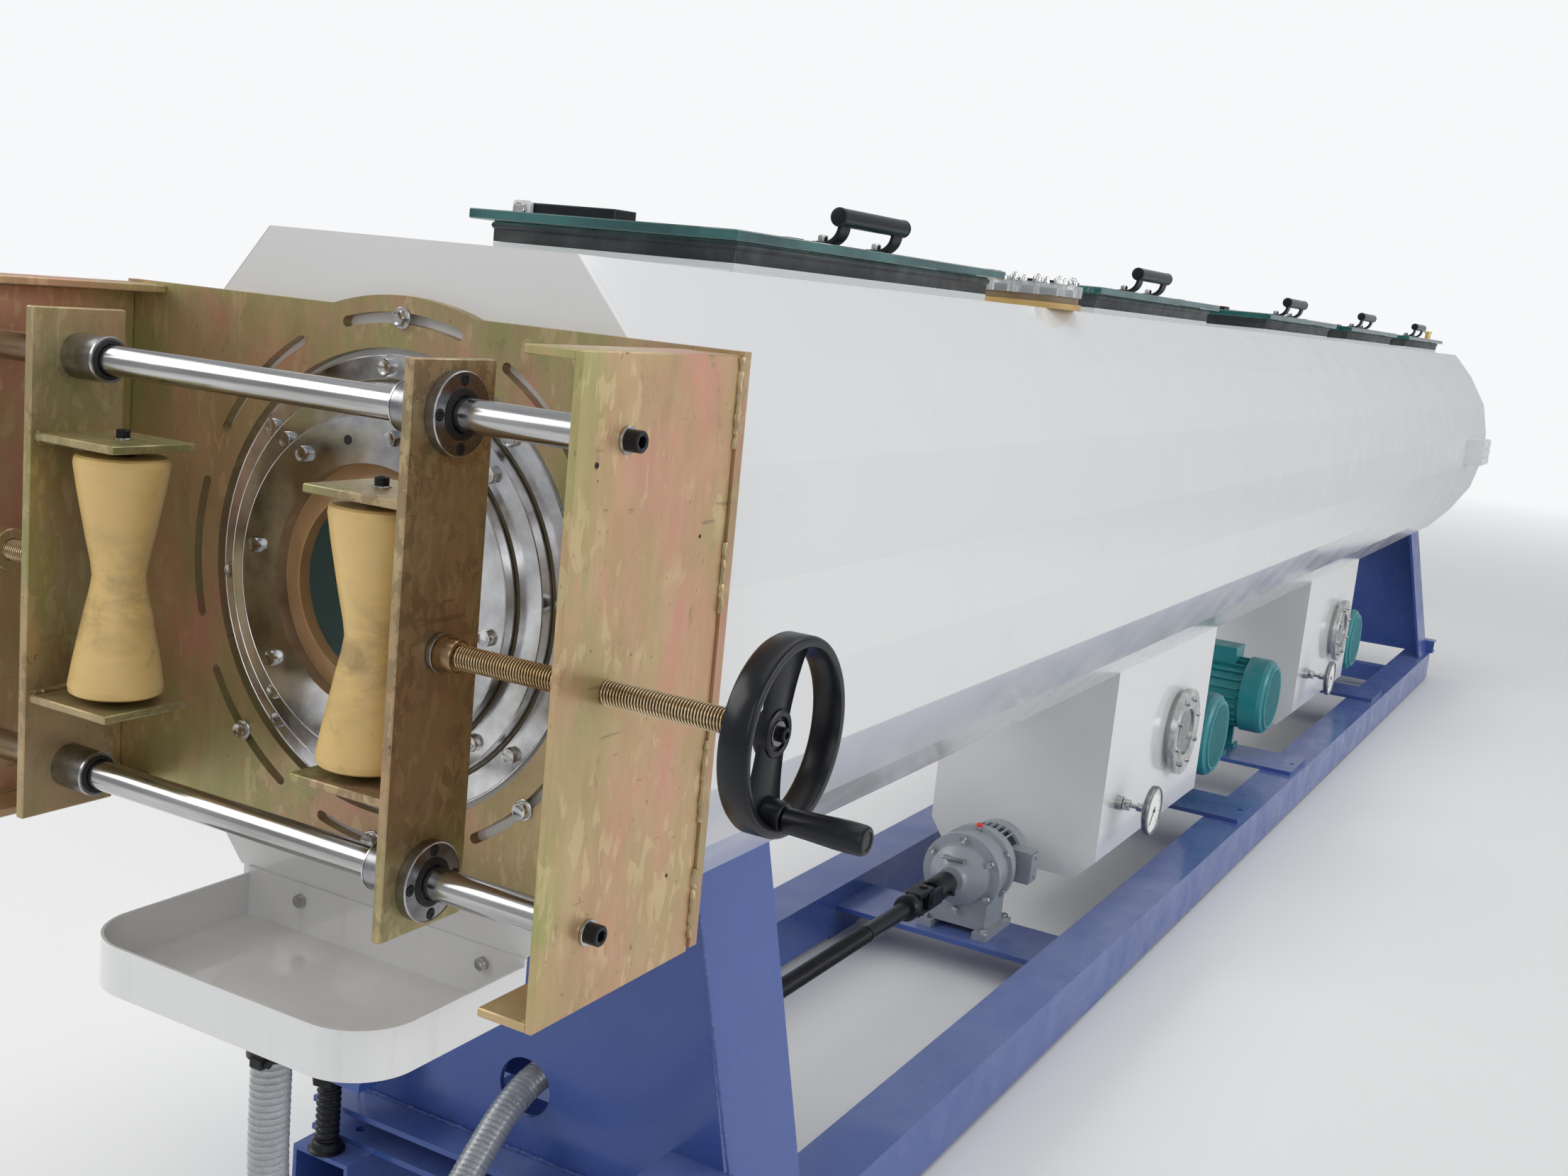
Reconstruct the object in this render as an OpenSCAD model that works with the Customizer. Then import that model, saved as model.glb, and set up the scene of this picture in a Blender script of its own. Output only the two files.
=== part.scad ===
// Spray cooling and vacuum sizing tank of a plastic pipe line, with a pipe centring clamp at its outlet end.
// Millimetres. The machine's own frame has x = 0 on the outlet end plate, y = 0 and z = axis_h on the pipe's axis.

/* [Machine] */
// Length of the tank over its two end plates
tank_len = 5940; // [4400:10:8000]
// Height of the pipe's axis above the floor
axis_h = 930; // [900:5:1300]

/* [Tank section] */
// Half width of the flat top and bottom
flat_half = 197; // [150:1:230]
// Height of the flat top above the axis
flat_z = 348; // [320:1:420]
// Half width at the shoulder fold
shoulder_half = 270; // [240:1:300]
// Height of the shoulder fold above the axis
shoulder_z = 266; // [220:1:300]
// Half width at the flank fold
flank_half = 333; // [300:1:350]
// Height of the flank fold above the axis
flank_z = 163; // [120:1:200]
// Half width at the widest fold
waist_half = 358; // [340:1:380]
// Height of the widest fold above the axis
waist_z = 52; // [30:1:90]
// Sheet thickness of the tank
sheet_t = 4; // [3:0.5:8]
// Thickness of the end plates
end_t = 10; // [6:1:20]

/* [Lids] */
// Length of a lid's glass
lid_len = 788; // [600:2:800]
// Half width of a lid's black frame
lid_half = 169; // [150:1:175]
// Height of a lid's black frame
lid_frame_h = 34; // [20:1:45]
// Bar width of a lid's frame
lid_bar_w = 34; // [20:1:60]
// Thickness of the glass
glass_t = 12; // [6:1:14]
// How far the glass stands out past its frame at the sides
glass_over = 17; // [4:1:20]
// How far the glass stands out past its frame at the ends
glass_end = 28; // [4:1:40]
// Height of the raised rim round a lid's opening
lid_rim_h = 10; // [4:1:14]
// Gap between a shut lid and the tank
lid_seat_gap = 0.3; // [0.2:0.1:1]
// Diameter of a hinge pin
hinge_pin_d = 10; // [6:1:14]
// Outside diameter of a hinge knuckle
knuckle_d = 28; // [20:1:32]
// Distance of the hinge pins behind the glass
hinge_back = 33; // [28:1:45]
// Height of the hinge pins above the glass
hinge_up = 8; // [7:1:12]
// Width of a hinge arm
hinge_arm_w = 46; // [30:1:80]
// Thickness of a hinge arm
hinge_arm_t = 18; // [8:1:18]
// Length of a hinge arm on the glass
hinge_arm_len = 106; // [60:1:140]
// Length of a lid's handle bar
handle_len = 190; // [160:5:300]
// Height of a handle above the glass
handle_h = 48; // [40:1:60]
// Diameter of a handle bar
handle_d = 23; // [16:1:24]
// Distance of a handle from the glass's front edge
handle_in = 34; // [30:1:80]
// Width of a handle's curved foot
handle_foot_w = 26; // [14:1:30]
// Distance of the first lid from the outlet end
lid_x0 = 302; // [240:1:400]
// Distance of the last lid from the inlet end
lid_x1 = 330; // [200:1:400]

/* [Clamp] */
// Height of the clamp's middle above the pipe's axis
clamp_z = -4; // [-8:1:8]
// Depth of the clamp's side channels, out from the face plate
box_depth = 236; // [190:1:300]
// Half width over the side channels
box_half = 390; // [370:1:460]
// Half height of the side channels
box_half_h = 278; // [270:1:340]
// Width of a side channel's flanges
box_flange_w = 57; // [40:1:90]
// Plate thickness of the side channels
box_t = 8; // [6:1:12]
// Face plate's half height
face_half_h = 277; // [260:1:330]
// Thickness of the face plate
face_t = 12; // [8:1:20]
// Radius of the round rise on the face plate's edge
face_round_r = 292; // [285:1:345]
// Radius of the opening in the face plate
face_open_r = 240; // [230:1:250]
// Radius of the circle that the clamping slots lie on
slot_r = 270; // [262:1:280]
// Width of a clamping slot
slot_w = 11; // [9:0.5:14]
// Angle that a slot runs through
slot_deg = 31; // [20:1:38]
// Distance of the guide shafts from the end plate
shaft_x = 180; // [170:1:200]
// Height of a guide shaft above or below the axis
shaft_z = 208; // [200:1:220]
// Diameter of a guide shaft
shaft_d = 30; // [25:1:40]

/* [Carriages] */
// Distance of the right carriage plate's outer face from the axis
right_y = 212; // [200:1:230]
// Distance of the left carriage plate's outer face from the axis
left_y = 268; // [212:1:275]
// Half height of a carriage plate
plate_half_h = 254; // [248:1:262]
// Width of a carriage plate
plate_w = 108; // [90:1:110]
// Thickness of a carriage plate
plate_t = 10; // [8:1:14]
// Outside diameter of a linear bearing
sleeve_d = 45; // [42:1:52]
// Length of a linear bearing
sleeve_len = 64; // [50:1:80]
// Diameter of a linear bearing's flange
bearing_flange_d = 74; // [66:1:80]
// Thickness of a linear bearing's flange
bearing_flange_t = 10; // [8:1:12]
// Gap all round between a shaft and its bearing
run_gap = 0.05; // [0.02:0.01:0.1]

/* [Rollers] */
// Length of a roller
roller_len = 236; // [180:1:240]
// Diameter of a roller at its ends
roller_end_d = 90; // [80:1:96]
// Diameter of a roller at its waist
roller_waist_d = 50; // [40:1:60]
// Diameter of a roller's axle
axle_d = 16; // [12:1:20]
// Distance from a carriage plate to its roller's axis
roller_off = 65; // [60:1:75]
// Gap between a roller's end and its bracket
roller_gap = 8; // [5:1:12]
// Thickness of a roller's bracket
bracket_t = 8; // [6:1:12]

/* [Handwheels] */
// Diameter of a lead screw
screw_d = 22; // [18:1:28]
// Distance from a carriage plate to the middle of its handwheel's rim
wheel_off = 345; // [320:1:360]
// Diameter of a handwheel
wheel_d = 160; // [125:1:180]
// Width of a handwheel's rim
rim_w = 27; // [22:1:36]
// Thickness of a handwheel's rim
rim_t = 9; // [6:1:14]
// Length of a handwheel's grip
grip_len = 72; // [50:1:100]
// Angle that a handwheel stands turned, from its grip straight down
wheel_turn = 8; // [0:1:40]

/* [Seal] */
// Outer radius of the ring that is bolted to the end plate
outer_ring_r = 234; // [225:1:238]
// Outer radius of the middle ring
middle_ring_r = 206; // [200:1:215]
// Outer radius of the seal plate
seal_plate_r = 175; // [165:1:185]
// Radius of the hole in the seal plate
seal_hole_r = 126; // [110:1:140]
// Radius of the hole in the rubber seal
pipe_hole_r = 98; // [60:1:106]
// Thickness of the outer ring
outer_ring_t = 8; // [5:1:12]
// Thickness of the middle ring and of the seal plate
ring_step = 16; // [10:1:24]

/* [Sumps] */
// Start of the front sump
sump1_x = 1912; // [1880:2:1980]
// Distance from one sump to the next
sump_pitch = 1795; // [1750:5:1850]
// Length of a sump
sump_len = 738; // [600:1:780]
// Depth of a sump's floor below the axis
sump_z = 785; // [700:1:795]
// Reach of a sump to the operator's side
sump_near = 200; // [190:1:210]
// Reach of a sump to the far side
sump_far = 165; // [120:1:190]
// Outside diameter of a sight glass's flange
sight_d = 196; // [150:1:210]
// Diameter of the clear part of a sight glass
sight_glass_d = 109; // [80:1:120]

/* [Base] */
// Width of a base beam
beam_w = 94; // [80:1:120]
// Height of a base beam
beam_h = 98; // [80:1:120]
// Distance from the axis to a beam's outer face
beam_out = 314; // [290:1:340]
// Start of the beams
beam_x0 = 225; // [150:1:230]
// Distance from the outlet end plate to the front pedestal
pedestal_x = 324; // [320:1:400]
// Length of a pedestal along the machine
pedestal_len = 174; // [140:1:220]
// Half width of a pedestal at its foot
pedestal_foot = 300; // [260:1:310]
// Plate thickness of a pedestal
pedestal_t = 8; // [6:1:12]
// Diameter of the hose hole in the front pedestal
hose_hole_d = 78; // [60:1:90]

/* [Drip tray] */
// Half width of the tray
tray_half = 192; // [160:1:200]
// Reach of the tray out from the end plate
tray_reach = 232; // [200:1:260]
// Depth of the tray
tray_h = 50; // [35:1:70]
// Radius of the tray's front corners
tray_corner_r = 66; // [30:1:90]
// Sheet thickness of the tray
tray_t = 3; // [2:0.5:5]

/* [Hidden] */
$fn = 64;
eps = 0.5;
c_white = [0.90, 0.90, 0.89];
c_blue = [0.16, 0.21, 0.48];
c_zinc = [0.76, 0.66, 0.44];
c_steel = [0.78, 0.79, 0.80];
c_dark = [0.06, 0.06, 0.065];
c_bronze = [0.55, 0.40, 0.22];
c_pu = [0.80, 0.72, 0.42];
c_teal = [0.05, 0.36, 0.36];
c_grey = [0.42, 0.45, 0.48];
c_glass = [0.35, 0.55, 0.52, 0.45];
c_rust = [0.55, 0.33, 0.18];
c_brass = [0.80, 0.62, 0.28];

// each lid's start and end: the places between the first and the last are parts of the free run
lid_run = tank_len - lid_x0 - lid_x1 - lid_len;
lids = [for (f = [0, 0.273, 0.5504, 0.7732, 1]) [lid_x0 + f * lid_run, lid_x0 + f * lid_run + lid_len]];
port_x = (lids[0][1] + lids[1][0]) / 2;
port_y = -140;
port_r = 86;
port_hole_r = 48;

beam_top = axis_h - 822;
beam_bot = beam_top - beam_h;
foot_t = beam_bot;
floor_flat = axis_h - flat_z;

// the whole machine's box, which gives the shared frame's origin
grip_tip_r = right_y + wheel_off + rim_w / 2 + grip_len;
grip_tip_l = left_y + wheel_off + rim_w / 2 + grip_len;
x_lo = -(shaft_x + wheel_d / 2);
inlet_ring_t = 16;
x_hi = tank_len + inlet_ring_t;
mid_x = (x_lo + x_hi) / 2;
mid_y = (grip_tip_l - grip_tip_r) / 2;

module place() {
    translate([-mid_x, -mid_y, 0]) children();
}

module clamped() {
    translate([0, 0, clamp_z]) children();
}

// a flat shape drawn as [y, z] about the axis and pushed out along x
module along_x(x0, x1) {
    translate([x0, 0, axis_h]) rotate([90, 0, 90]) linear_extrude(height = x1 - x0) children();
}

module disc_x(x0, x1, r, y = 0, z = 0) {
    translate([x0, y, axis_h + z]) rotate([0, 90, 0]) cylinder(h = x1 - x0, r = r);
}

module disc_y(y0, y1, r, x = 0, z = 0) {
    translate([x, y1, axis_h + z]) rotate([90, 0, 0]) cylinder(h = y1 - y0, r = r);
}

module slab(x, y, z) {
    translate([x[0], y[0], axis_h + z[0]]) cube([x[1] - x[0], y[1] - y[0], z[1] - z[0]]);
}

// the tank's folded section, in from its outside by t
quarter = [[flat_half, flat_z], [shoulder_half, shoulder_z], [flank_half, flank_z], [waist_half, waist_z]];
function inward(p, t) = p * (1 - t / norm(p));
function ring_pts(t) = concat(
    [for (i = [0 : 3]) inward(quarter[i], t)],
    [for (i = [3 : -1 : 0]) inward([quarter[i][0], -quarter[i][1]], t)],
    [for (i = [0 : 3]) inward([-quarter[i][0], -quarter[i][1]], t)],
    [for (i = [3 : -1 : 0]) inward([-quarter[i][0], quarter[i][1]], t)]);

module section(t = 0) {
    polygon(ring_pts(t));
}

// one folded plate of the tank between two corners of the section, a hair short of its neighbours
fold_gap = 0.15;
function toward(a, b, d) = a + (b - a) * d / norm(b - a);
module fold_plate(i) {
    o = ring_pts(0);
    n = ring_pts(sheet_t);
    j = (i + 1) % len(o);
    polygon([toward(o[i], o[j], fold_gap), toward(o[j], o[i], fold_gap), toward(n[j], n[i], fold_gap), toward(n[i], n[j], fold_gap)]);
}

module tank_walls() {
    color(c_white) place() for (i = [0 : 15]) if (i != 7 && i != 15) along_x(end_t, tank_len - end_t) fold_plate(i);
}

// the bar of a lid's frame, and the rim of the tank below it
module lid_ring(l, z, cut) {
    xs = [l[0] + glass_end, l[1] - glass_end];
    difference() {
        slab(xs, [-lid_half, lid_half], z);
        slab([xs[0] + lid_bar_w, xs[1] - lid_bar_w], [-lid_half + lid_bar_w, lid_half - lid_bar_w], [z[0] - cut, z[1] + eps]);
    }
}

module tank_top() {
    color(c_white) place() {
        difference() {
            along_x(end_t, tank_len - end_t) fold_plate(15);
            for (l = lids) slab([l[0] + glass_end + lid_bar_w, l[1] - glass_end - lid_bar_w],
                [-lid_half + lid_bar_w, lid_half - lid_bar_w], [flat_z - 3 * sheet_t, flat_z + eps]);
            translate([port_x, port_y, axis_h + flat_z - 3 * sheet_t]) cylinder(h = 4 * sheet_t, r = port_hole_r);
        }
        for (l = lids) lid_ring(l, [flat_z - sheet_t / 2, flat_z + lid_rim_h], sheet_t);
    }
}

module tank_floor() {
    color(c_white) place() difference() {
        along_x(end_t, tank_len - end_t) fold_plate(7);
        for (k = [0, 1]) slab([sump1_x + k * sump_pitch + 20, sump1_x + k * sump_pitch + sump_len - 20],
            [-flat_half + 20, sump_far - 20], [-flat_z - eps, -flat_z + 3 * sheet_t]);
    }
}

module outlet_end_plate() {
    color(c_white) place() difference() {
        union() {
            along_x(0, end_t) section();
            slab([0, end_t], [-flat_half + 4, flat_half - 4], [-flat_z - tray_h, -flat_z + eps]);
        }
        disc_x(-eps, end_t + eps, seal_plate_r + 8);
    }
}

module inlet_end_plate() {
    color(c_white) place() difference() {
        union() {
            along_x(tank_len - end_t, tank_len) section();
            disc_x(tank_len - eps, tank_len + inlet_ring_t, seal_plate_r + 30);
        }
        disc_x(tank_len - end_t - eps, tank_len + inlet_ring_t + eps, pipe_hole_r + 10);
    }
}

// Lids

hinge_y = lid_half + glass_over + hinge_back;
hinge_z = flat_z + lid_frame_h + glass_t + hinge_up;
hinge_inset = 172;
arm_eye_r = 10;
bracket_top = 12;
bracket_round = 5;
function slope_z(y) = min(flat_z, flat_z - (y - flat_half) * (flat_z - shoulder_z) / (shoulder_half - flat_half));
function hinge_xs(l) = [l[0] + hinge_inset, l[1] - hinge_inset];

// a bracket's outline: it stands on the tank's upper fold
module hinge_plate() {
    r = knuckle_d / 2;
    corner = hinge_y - r < flat_half ? [[flat_half, flat_z]] : [];
    c = r - bracket_round;
    top = hinge_z + bracket_top;
    for (s = [-1, 1]) translate([hinge_y + s * c, top - bracket_round]) circle(r = bracket_round);
    polygon([[hinge_y - c, hinge_z], [hinge_y + c, hinge_z], [hinge_y + c, top], [hinge_y - c, top]]);
    polygon(concat([[hinge_y - r, top - bracket_round], [hinge_y + r, top - bracket_round], [hinge_y + r, slope_z(hinge_y + r)]],
        corner, [[hinge_y - r, slope_z(hinge_y - r)]]));
}

module lid_hinges() {
    color(c_white) place() for (l = lids) for (x = hinge_xs(l)) {
        for (s = [-1, 1]) translate([x + s * (hinge_arm_w / 2 + 4) - 3, 0, axis_h]) rotate([90, 0, 90])
            linear_extrude(height = 6) hinge_plate();
        disc_x(x - hinge_arm_w / 2 - 12, x + hinge_arm_w / 2 + 12, hinge_pin_d / 2, hinge_y, hinge_z);
    }
}

module lid_frame(l) {
    zb = flat_z + lid_frame_h + glass_t;
    lid_ring(l, [flat_z + lid_rim_h + lid_seat_gap, flat_z + lid_frame_h], eps);
    for (x = hinge_xs(l)) difference() {
        union() {
            disc_x(x - hinge_arm_w / 2, x + hinge_arm_w / 2, arm_eye_r, hinge_y, hinge_z);
            slab([x - hinge_arm_w / 2, x + hinge_arm_w / 2], [lid_half + glass_over - hinge_arm_len, hinge_y], [zb, zb + hinge_arm_t]);
        }
        disc_x(x - hinge_arm_w / 2 - eps, x + hinge_arm_w / 2 + eps, hinge_pin_d / 2 + run_gap, hinge_y, hinge_z);
    }
    mid = (l[0] + l[1]) / 2;
    hy = handle_in - lid_half - glass_over;
    for (s = [-1, 1]) translate([mid + s * (handle_len / 2 - 5 - handle_foot_w / 2) - handle_foot_w / 2, hy, axis_h + zb])
        rotate([90, 0, 90]) linear_extrude(height = handle_foot_w) handle_foot();
    disc_x(mid - handle_len / 2, mid + handle_len / 2, handle_d / 2, hy, zb + handle_h - handle_d / 2);
}

foot_bend = min(26, handle_h - handle_d / 2 - 6);
strip_t = 5;

// a strip that drops from the handle bar and bends inwards onto the glass
module handle_foot() {
    c = foot_bend - strip_t / 2;
    translate([-strip_t / 2, foot_bend - eps]) square([strip_t, handle_h - handle_d / 2 - foot_bend]);
    translate([c - eps, 0]) square([14, strip_t]);
    translate([c, foot_bend]) intersection() {
        difference() {
            circle(r = foot_bend);
            circle(r = foot_bend - strip_t);
        }
        translate([-foot_bend - 1, -foot_bend - 1]) square(foot_bend + 1);
    }
}

module lid_glass(l) {
    slab(l, [-lid_half - glass_over, lid_half + glass_over],
        [flat_z + lid_frame_h, flat_z + lid_frame_h + glass_t]);
}

module lid_1_frame() { color(c_dark) place() lid_frame(lids[0]); }
module lid_2_frame() { color(c_dark) place() lid_frame(lids[1]); }
module lid_3_frame() { color(c_dark) place() lid_frame(lids[2]); }
module lid_4_frame() { color(c_dark) place() lid_frame(lids[3]); }
module lid_5_frame() { color(c_dark) place() lid_frame(lids[4]); }
module lid_1_glass() { color(c_glass) place() lid_glass(lids[0]); }
module lid_2_glass() { color(c_glass) place() lid_glass(lids[1]); }
module lid_3_glass() { color(c_glass) place() lid_glass(lids[2]); }
module lid_4_glass() { color(c_glass) place() lid_glass(lids[3]); }
module lid_5_glass() { color(c_glass) place() lid_glass(lids[4]); }

module port_base() {
    color(c_rust) place() translate([port_x, port_y, axis_h + flat_z]) rotate_extrude() difference() {
        polygon([[port_hole_r, 0], [port_r, 0], [port_r, 9], [port_r - 5, 10], [port_r - 5, 20], [port_hole_r, 20]]);
    }
}

module port_cover() {
    color([0.85, 0.88, 0.90, 0.6]) place() translate([port_x, port_y, axis_h + flat_z + 20]) difference() {
        rotate_extrude() polygon([[0, 0], [port_r, 0], [port_r, 18], [port_r - 30, 18], [port_r - 30, 12], [0, 12]]);
        for (a = [0 : 30 : 330]) rotate([0, 0, a]) translate([port_r - 15, 0, -eps]) cylinder(h = 30, r = 4.5);
    }
}

// Seal rings at the outlet

module ring_x(x0, x1, ro, ri) {
    difference() {
        disc_x(x0, x1, ro);
        disc_x(x0 - eps, x1 + eps, ri);
    }
}

x_ring2 = -outer_ring_t - ring_step;
x_ring3 = x_ring2 - ring_step;
seal_t = 4;

module outer_ring() { color(c_steel) place() ring_x(-outer_ring_t, 0, outer_ring_r, seal_plate_r + 8); }
module middle_ring() { color(c_steel) place() ring_x(x_ring2, -outer_ring_t, middle_ring_r, seal_plate_r - 24); }
module seal_plate() { color(c_steel) place() ring_x(x_ring3, x_ring2, seal_plate_r, seal_hole_r); }

module rubber_seal() {
    color(c_rust) place() difference() {
        union() {
            disc_x(x_ring2, x_ring2 + seal_t, seal_plate_r - 25);
            translate([x_ring2 + seal_t, 0, axis_h]) rotate([0, -90, 0]) rotate_extrude()
                polygon([[pipe_hole_r, 0], [seal_hole_r - 1, 0], [seal_hole_r - 1, seal_t], [pipe_hole_r + 3, 14], [pipe_hole_r, 14]]);
        }
        disc_x(x_ring3 - eps, x_ring2 + 2 * seal_t, pipe_hole_r);
    }
}

// Clamp

// one round clamping slot as an outline: outer arc, end, inner arc, end
function polar(r, a) = [r * cos(a), r * sin(a)];
function slot_pts(mid, steps = 14) = let (h = slot_deg / 2, w = slot_w / 2) concat(
    [for (i = [0 : steps]) polar(slot_r + w, mid - h + i * slot_deg / steps)],
    [for (i = [1 : 5]) polar(slot_r, mid + h) + polar(w, mid + h + i * 30)],
    [for (i = [0 : steps]) polar(slot_r - w, mid + h - i * slot_deg / steps)],
    [for (i = [1 : 5]) polar(slot_r, mid - h) + polar(w, mid - h + 180 + i * 30)]);

module face_plate() {
    color(c_zinc) place() along_x(-face_t, 0) difference() {
        union() {
            square([2 * (box_half + 3), 2 * face_half_h], center = true);
            circle(r = face_round_r);
        }
        circle(r = face_open_r);
        for (k = [0 : 7]) polygon(slot_pts(k * 45));
    }
}

nut_len = 26;

// side is -1 for the operator's side and 1 for the far side
module side_box(side) {
    scale([1, side, 1]) difference() {
        union() {
            slab([-face_t - box_depth, -face_t], [box_half - box_t, box_half], [-box_half_h, box_half_h]);
            for (s = [-1, 1]) translate([0, 0, s * (box_half_h - box_t / 2)])
                slab([-face_t - box_depth, -face_t], [box_half - box_flange_w, box_half - eps], [-box_t / 2, box_t / 2]);
            disc_y(box_half - box_t - nut_len, box_half - box_t + eps, screw_d, -shaft_x);
        }
        disc_y(box_half - 100, box_half + eps, screw_d / 2 + run_gap, -shaft_x);
        for (s = [-1, 1]) disc_y(box_half - box_t - eps, box_half + eps, 6.5, -shaft_x, s * shaft_z);
        disc_y(box_half - box_t - eps, box_half + eps, 4.5, -shaft_x - 40, shaft_z - 24);
    }
}

module right_box() { color(c_zinc) place() clamped() mirror([0, 1, 0]) side_box(1); }
module left_box() { color(c_zinc) place() clamped() side_box(1); }

module guide_shaft(z) {
    e = box_half - box_t;
    disc_y(-e, e, shaft_d / 2, -shaft_x, z);
    disc_y(-box_half - 14, box_half + 14, 6, -shaft_x, z);
    for (s = [-1, 1]) translate([0, s * (box_half + 1.5), 0]) disc_y(-1.5, 1.5, 11, -shaft_x, z);
    for (s = [-1, 1]) translate([0, s * (box_half + 9), 0]) disc_y(-6, 6, 9, -shaft_x, z);
}

module upper_shaft() { color(c_steel) place() clamped() guide_shaft(shaft_z); }
module lower_shaft() { color(c_steel) place() clamped() guide_shaft(-shaft_z); }

bracket_z = roller_len / 2 + roller_gap;
collar_t = 24;

// A carriage is drawn on the far side; y_out is its plate's outer face.
module carriage(y_out) {
    yp = y_out - plate_t;
    ya = yp - roller_off;
    difference() {
        union() {
            slab([-shaft_x - plate_w / 2, -shaft_x + plate_w / 2], [yp, y_out], [-plate_half_h, plate_half_h]);
            for (s = [-1, 1]) translate([0, 0, s * (bracket_z + bracket_t / 2)])
                slab([-shaft_x - plate_w / 2 + 4, -shaft_x + plate_w / 2 - 4], [ya - roller_end_d / 2, yp + eps],
                    [-bracket_t / 2, bracket_t / 2]);
            translate([-shaft_x, ya, axis_h - bracket_z - bracket_t - 12]) cylinder(h = 2 * (bracket_z + bracket_t + 12), r = axle_d / 2);
            for (s = [0, 1]) mirror([0, 0, s]) translate([0, 0, s * -2 * axis_h])
                translate([-shaft_x, ya, axis_h + bracket_z + bracket_t]) cylinder(h = 12, r = 13, $fn = 6);
        }
        for (s = [-1, 1]) disc_y(yp - eps, y_out + eps, sleeve_d / 2, -shaft_x, s * shaft_z);
        disc_y(yp - eps, y_out + eps, screw_d / 2 - 2 + run_gap, -shaft_x);
    }
}

module bearings(y_out) {
    for (s = [-1, 1]) difference() {
        union() {
            disc_y(y_out, y_out + bearing_flange_t, bearing_flange_d / 2, -shaft_x, s * shaft_z);
            disc_y(y_out + bearing_flange_t - sleeve_len, y_out + eps, sleeve_d / 2, -shaft_x, s * shaft_z);
        }
        disc_y(y_out - sleeve_len, y_out + 2 * bearing_flange_t, shaft_d / 2 + run_gap, -shaft_x, s * shaft_z);
        for (a = [45 : 90 : 315]) translate([0, 0, 0])
            disc_y(y_out + 4, y_out + bearing_flange_t + eps, 5.5, -shaft_x + 30 * cos(a), s * shaft_z + 30 * sin(a));
    }
}

module roller(y_out) {
    ya = y_out - plate_t - roller_off;
    h = roller_len / 2;
    re = roller_end_d / 2;
    rw = roller_waist_d / 2;
    b = axle_d / 2 + run_gap;
    translate([-shaft_x, ya, axis_h]) rotate_extrude(convexity = 4) polygon([[b, -h], [re - 4, -h], [re - 1, -h + 2], [re, -h + 8],
        [re - 4, -h * 0.72], [rw + 7, -h * 0.32], [rw + 2, -h * 0.12], [rw, 0], [rw + 2, h * 0.12], [rw + 7, h * 0.32],
        [re - 4, h * 0.72], [re, h - 8], [re - 1, h - 2], [re - 4, h], [b, h]]);
}

hub_back = 16;
hub_front = -3;

module lead_screw(y_out) {
    yw = y_out + wheel_off;
    disc_y(y_out - plate_t, yw + hub_front, screw_d / 2 - 2, -shaft_x);
    disc_y(y_out + collar_t, yw - hub_back, screw_d / 2, -shaft_x);
    disc_y(y_out + 0.3, y_out + collar_t, screw_d / 2 + 6.5, -shaft_x);
}

// The wheel's web lies at the back of its rim, and the grip stands on a boss in front.
module handwheel(y_out) {
    yw = y_out + wheel_off;
    r = wheel_d / 2;
    ri = r - rim_t;
    back = -rim_w / 2;
    translate([-shaft_x, yw, axis_h]) rotate([-90, 0, 0]) rotate([0, 0, wheel_turn]) difference() {
        union() {
            rotate_extrude(convexity = 4) polygon([[ri, back], [r - 2, back], [r, back + 3],
                [r, -back - 3], [r - 2, -back], [ri, -back]]);
            translate([0, 0, -hub_back]) cylinder(h = hub_back + hub_front, r = 21);
            translate([0, 0, back + 0.5]) linear_extrude(height = 8.5)
                polygon([[-30, -ri - 2], [30, -ri - 2], [18.5, 0], [30, ri + 2], [-30, ri + 2], [-18.5, 0]]);
            translate([0, ri - 7, back + 4]) cylinder(h = rim_w - 4, r = 12.5);
            translate([0, ri - 7, -back]) rotate_extrude() polygon([[0, -1], [8, -1], [8, 0], [10, 2], [11.5, grip_len * 0.35],
                [12.5, grip_len * 0.7], [12, grip_len - 4], [10, grip_len], [0, grip_len]]);
        }
        translate([0, 0, -hub_back - 4]) cylinder(h = hub_back + 24, r = screw_d / 2 - 2);
    }
}

module right_side() { mirror([0, 1, 0]) children(); }

module right_carriage() { color(c_zinc) place() clamped() right_side() carriage(right_y); }
module right_bearings() { color(c_steel) place() clamped() right_side() bearings(right_y); }
module right_roller() { color(c_pu) place() clamped() right_side() roller(right_y); }
module right_screw() { color(c_bronze) place() clamped() right_side() lead_screw(right_y); }
module right_handwheel() { color(c_dark) place() clamped() right_side() handwheel(right_y); }
module left_carriage() { color(c_zinc) place() clamped() carriage(left_y); }
module left_bearings() { color(c_steel) place() clamped() bearings(left_y); }
module left_roller() { color(c_pu) place() clamped() roller(left_y); }
module left_screw() { color(c_bronze) place() clamped() lead_screw(left_y); }
module left_handwheel() { color(c_dark) place() clamped() handwheel(left_y); }

// Sumps

module sump_profile(t) {
    n = sump_near - t;
    f = sump_far - t;
    z = sump_z - t;
    polygon([[-n, -flat_z + 90], [-n, -z + 43], [-n + 40, -z], [f - 38, -z], [f, -z + 55], [f, -flat_z + 90]]);
}

sight_z = -551;
sight_off = 489;
thermo_off = 98;
thermo_z = -635;
sump_wall = 5;
neck_len = 12;

module sump(x) {
    sx = x + sight_off;
    difference() {
        union() {
            along_x(x, x + sump_len) sump_profile(0);
            disc_y(-sump_near - neck_len, -sump_near + 1, sight_d / 2 - 20, sx, sight_z);
        }
        along_x(x + sump_wall, x + sump_len - sump_wall) sump_profile(sump_wall);
        along_x(x - eps, x + sump_len + eps) section();
        disc_y(-sump_near - neck_len - eps, -sump_near + 40, sight_glass_d / 2 + 4, sx, sight_z);
        disc_y(-sump_near - eps, -sump_near + 40, 11, x + thermo_off, thermo_z);
    }
}

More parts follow.
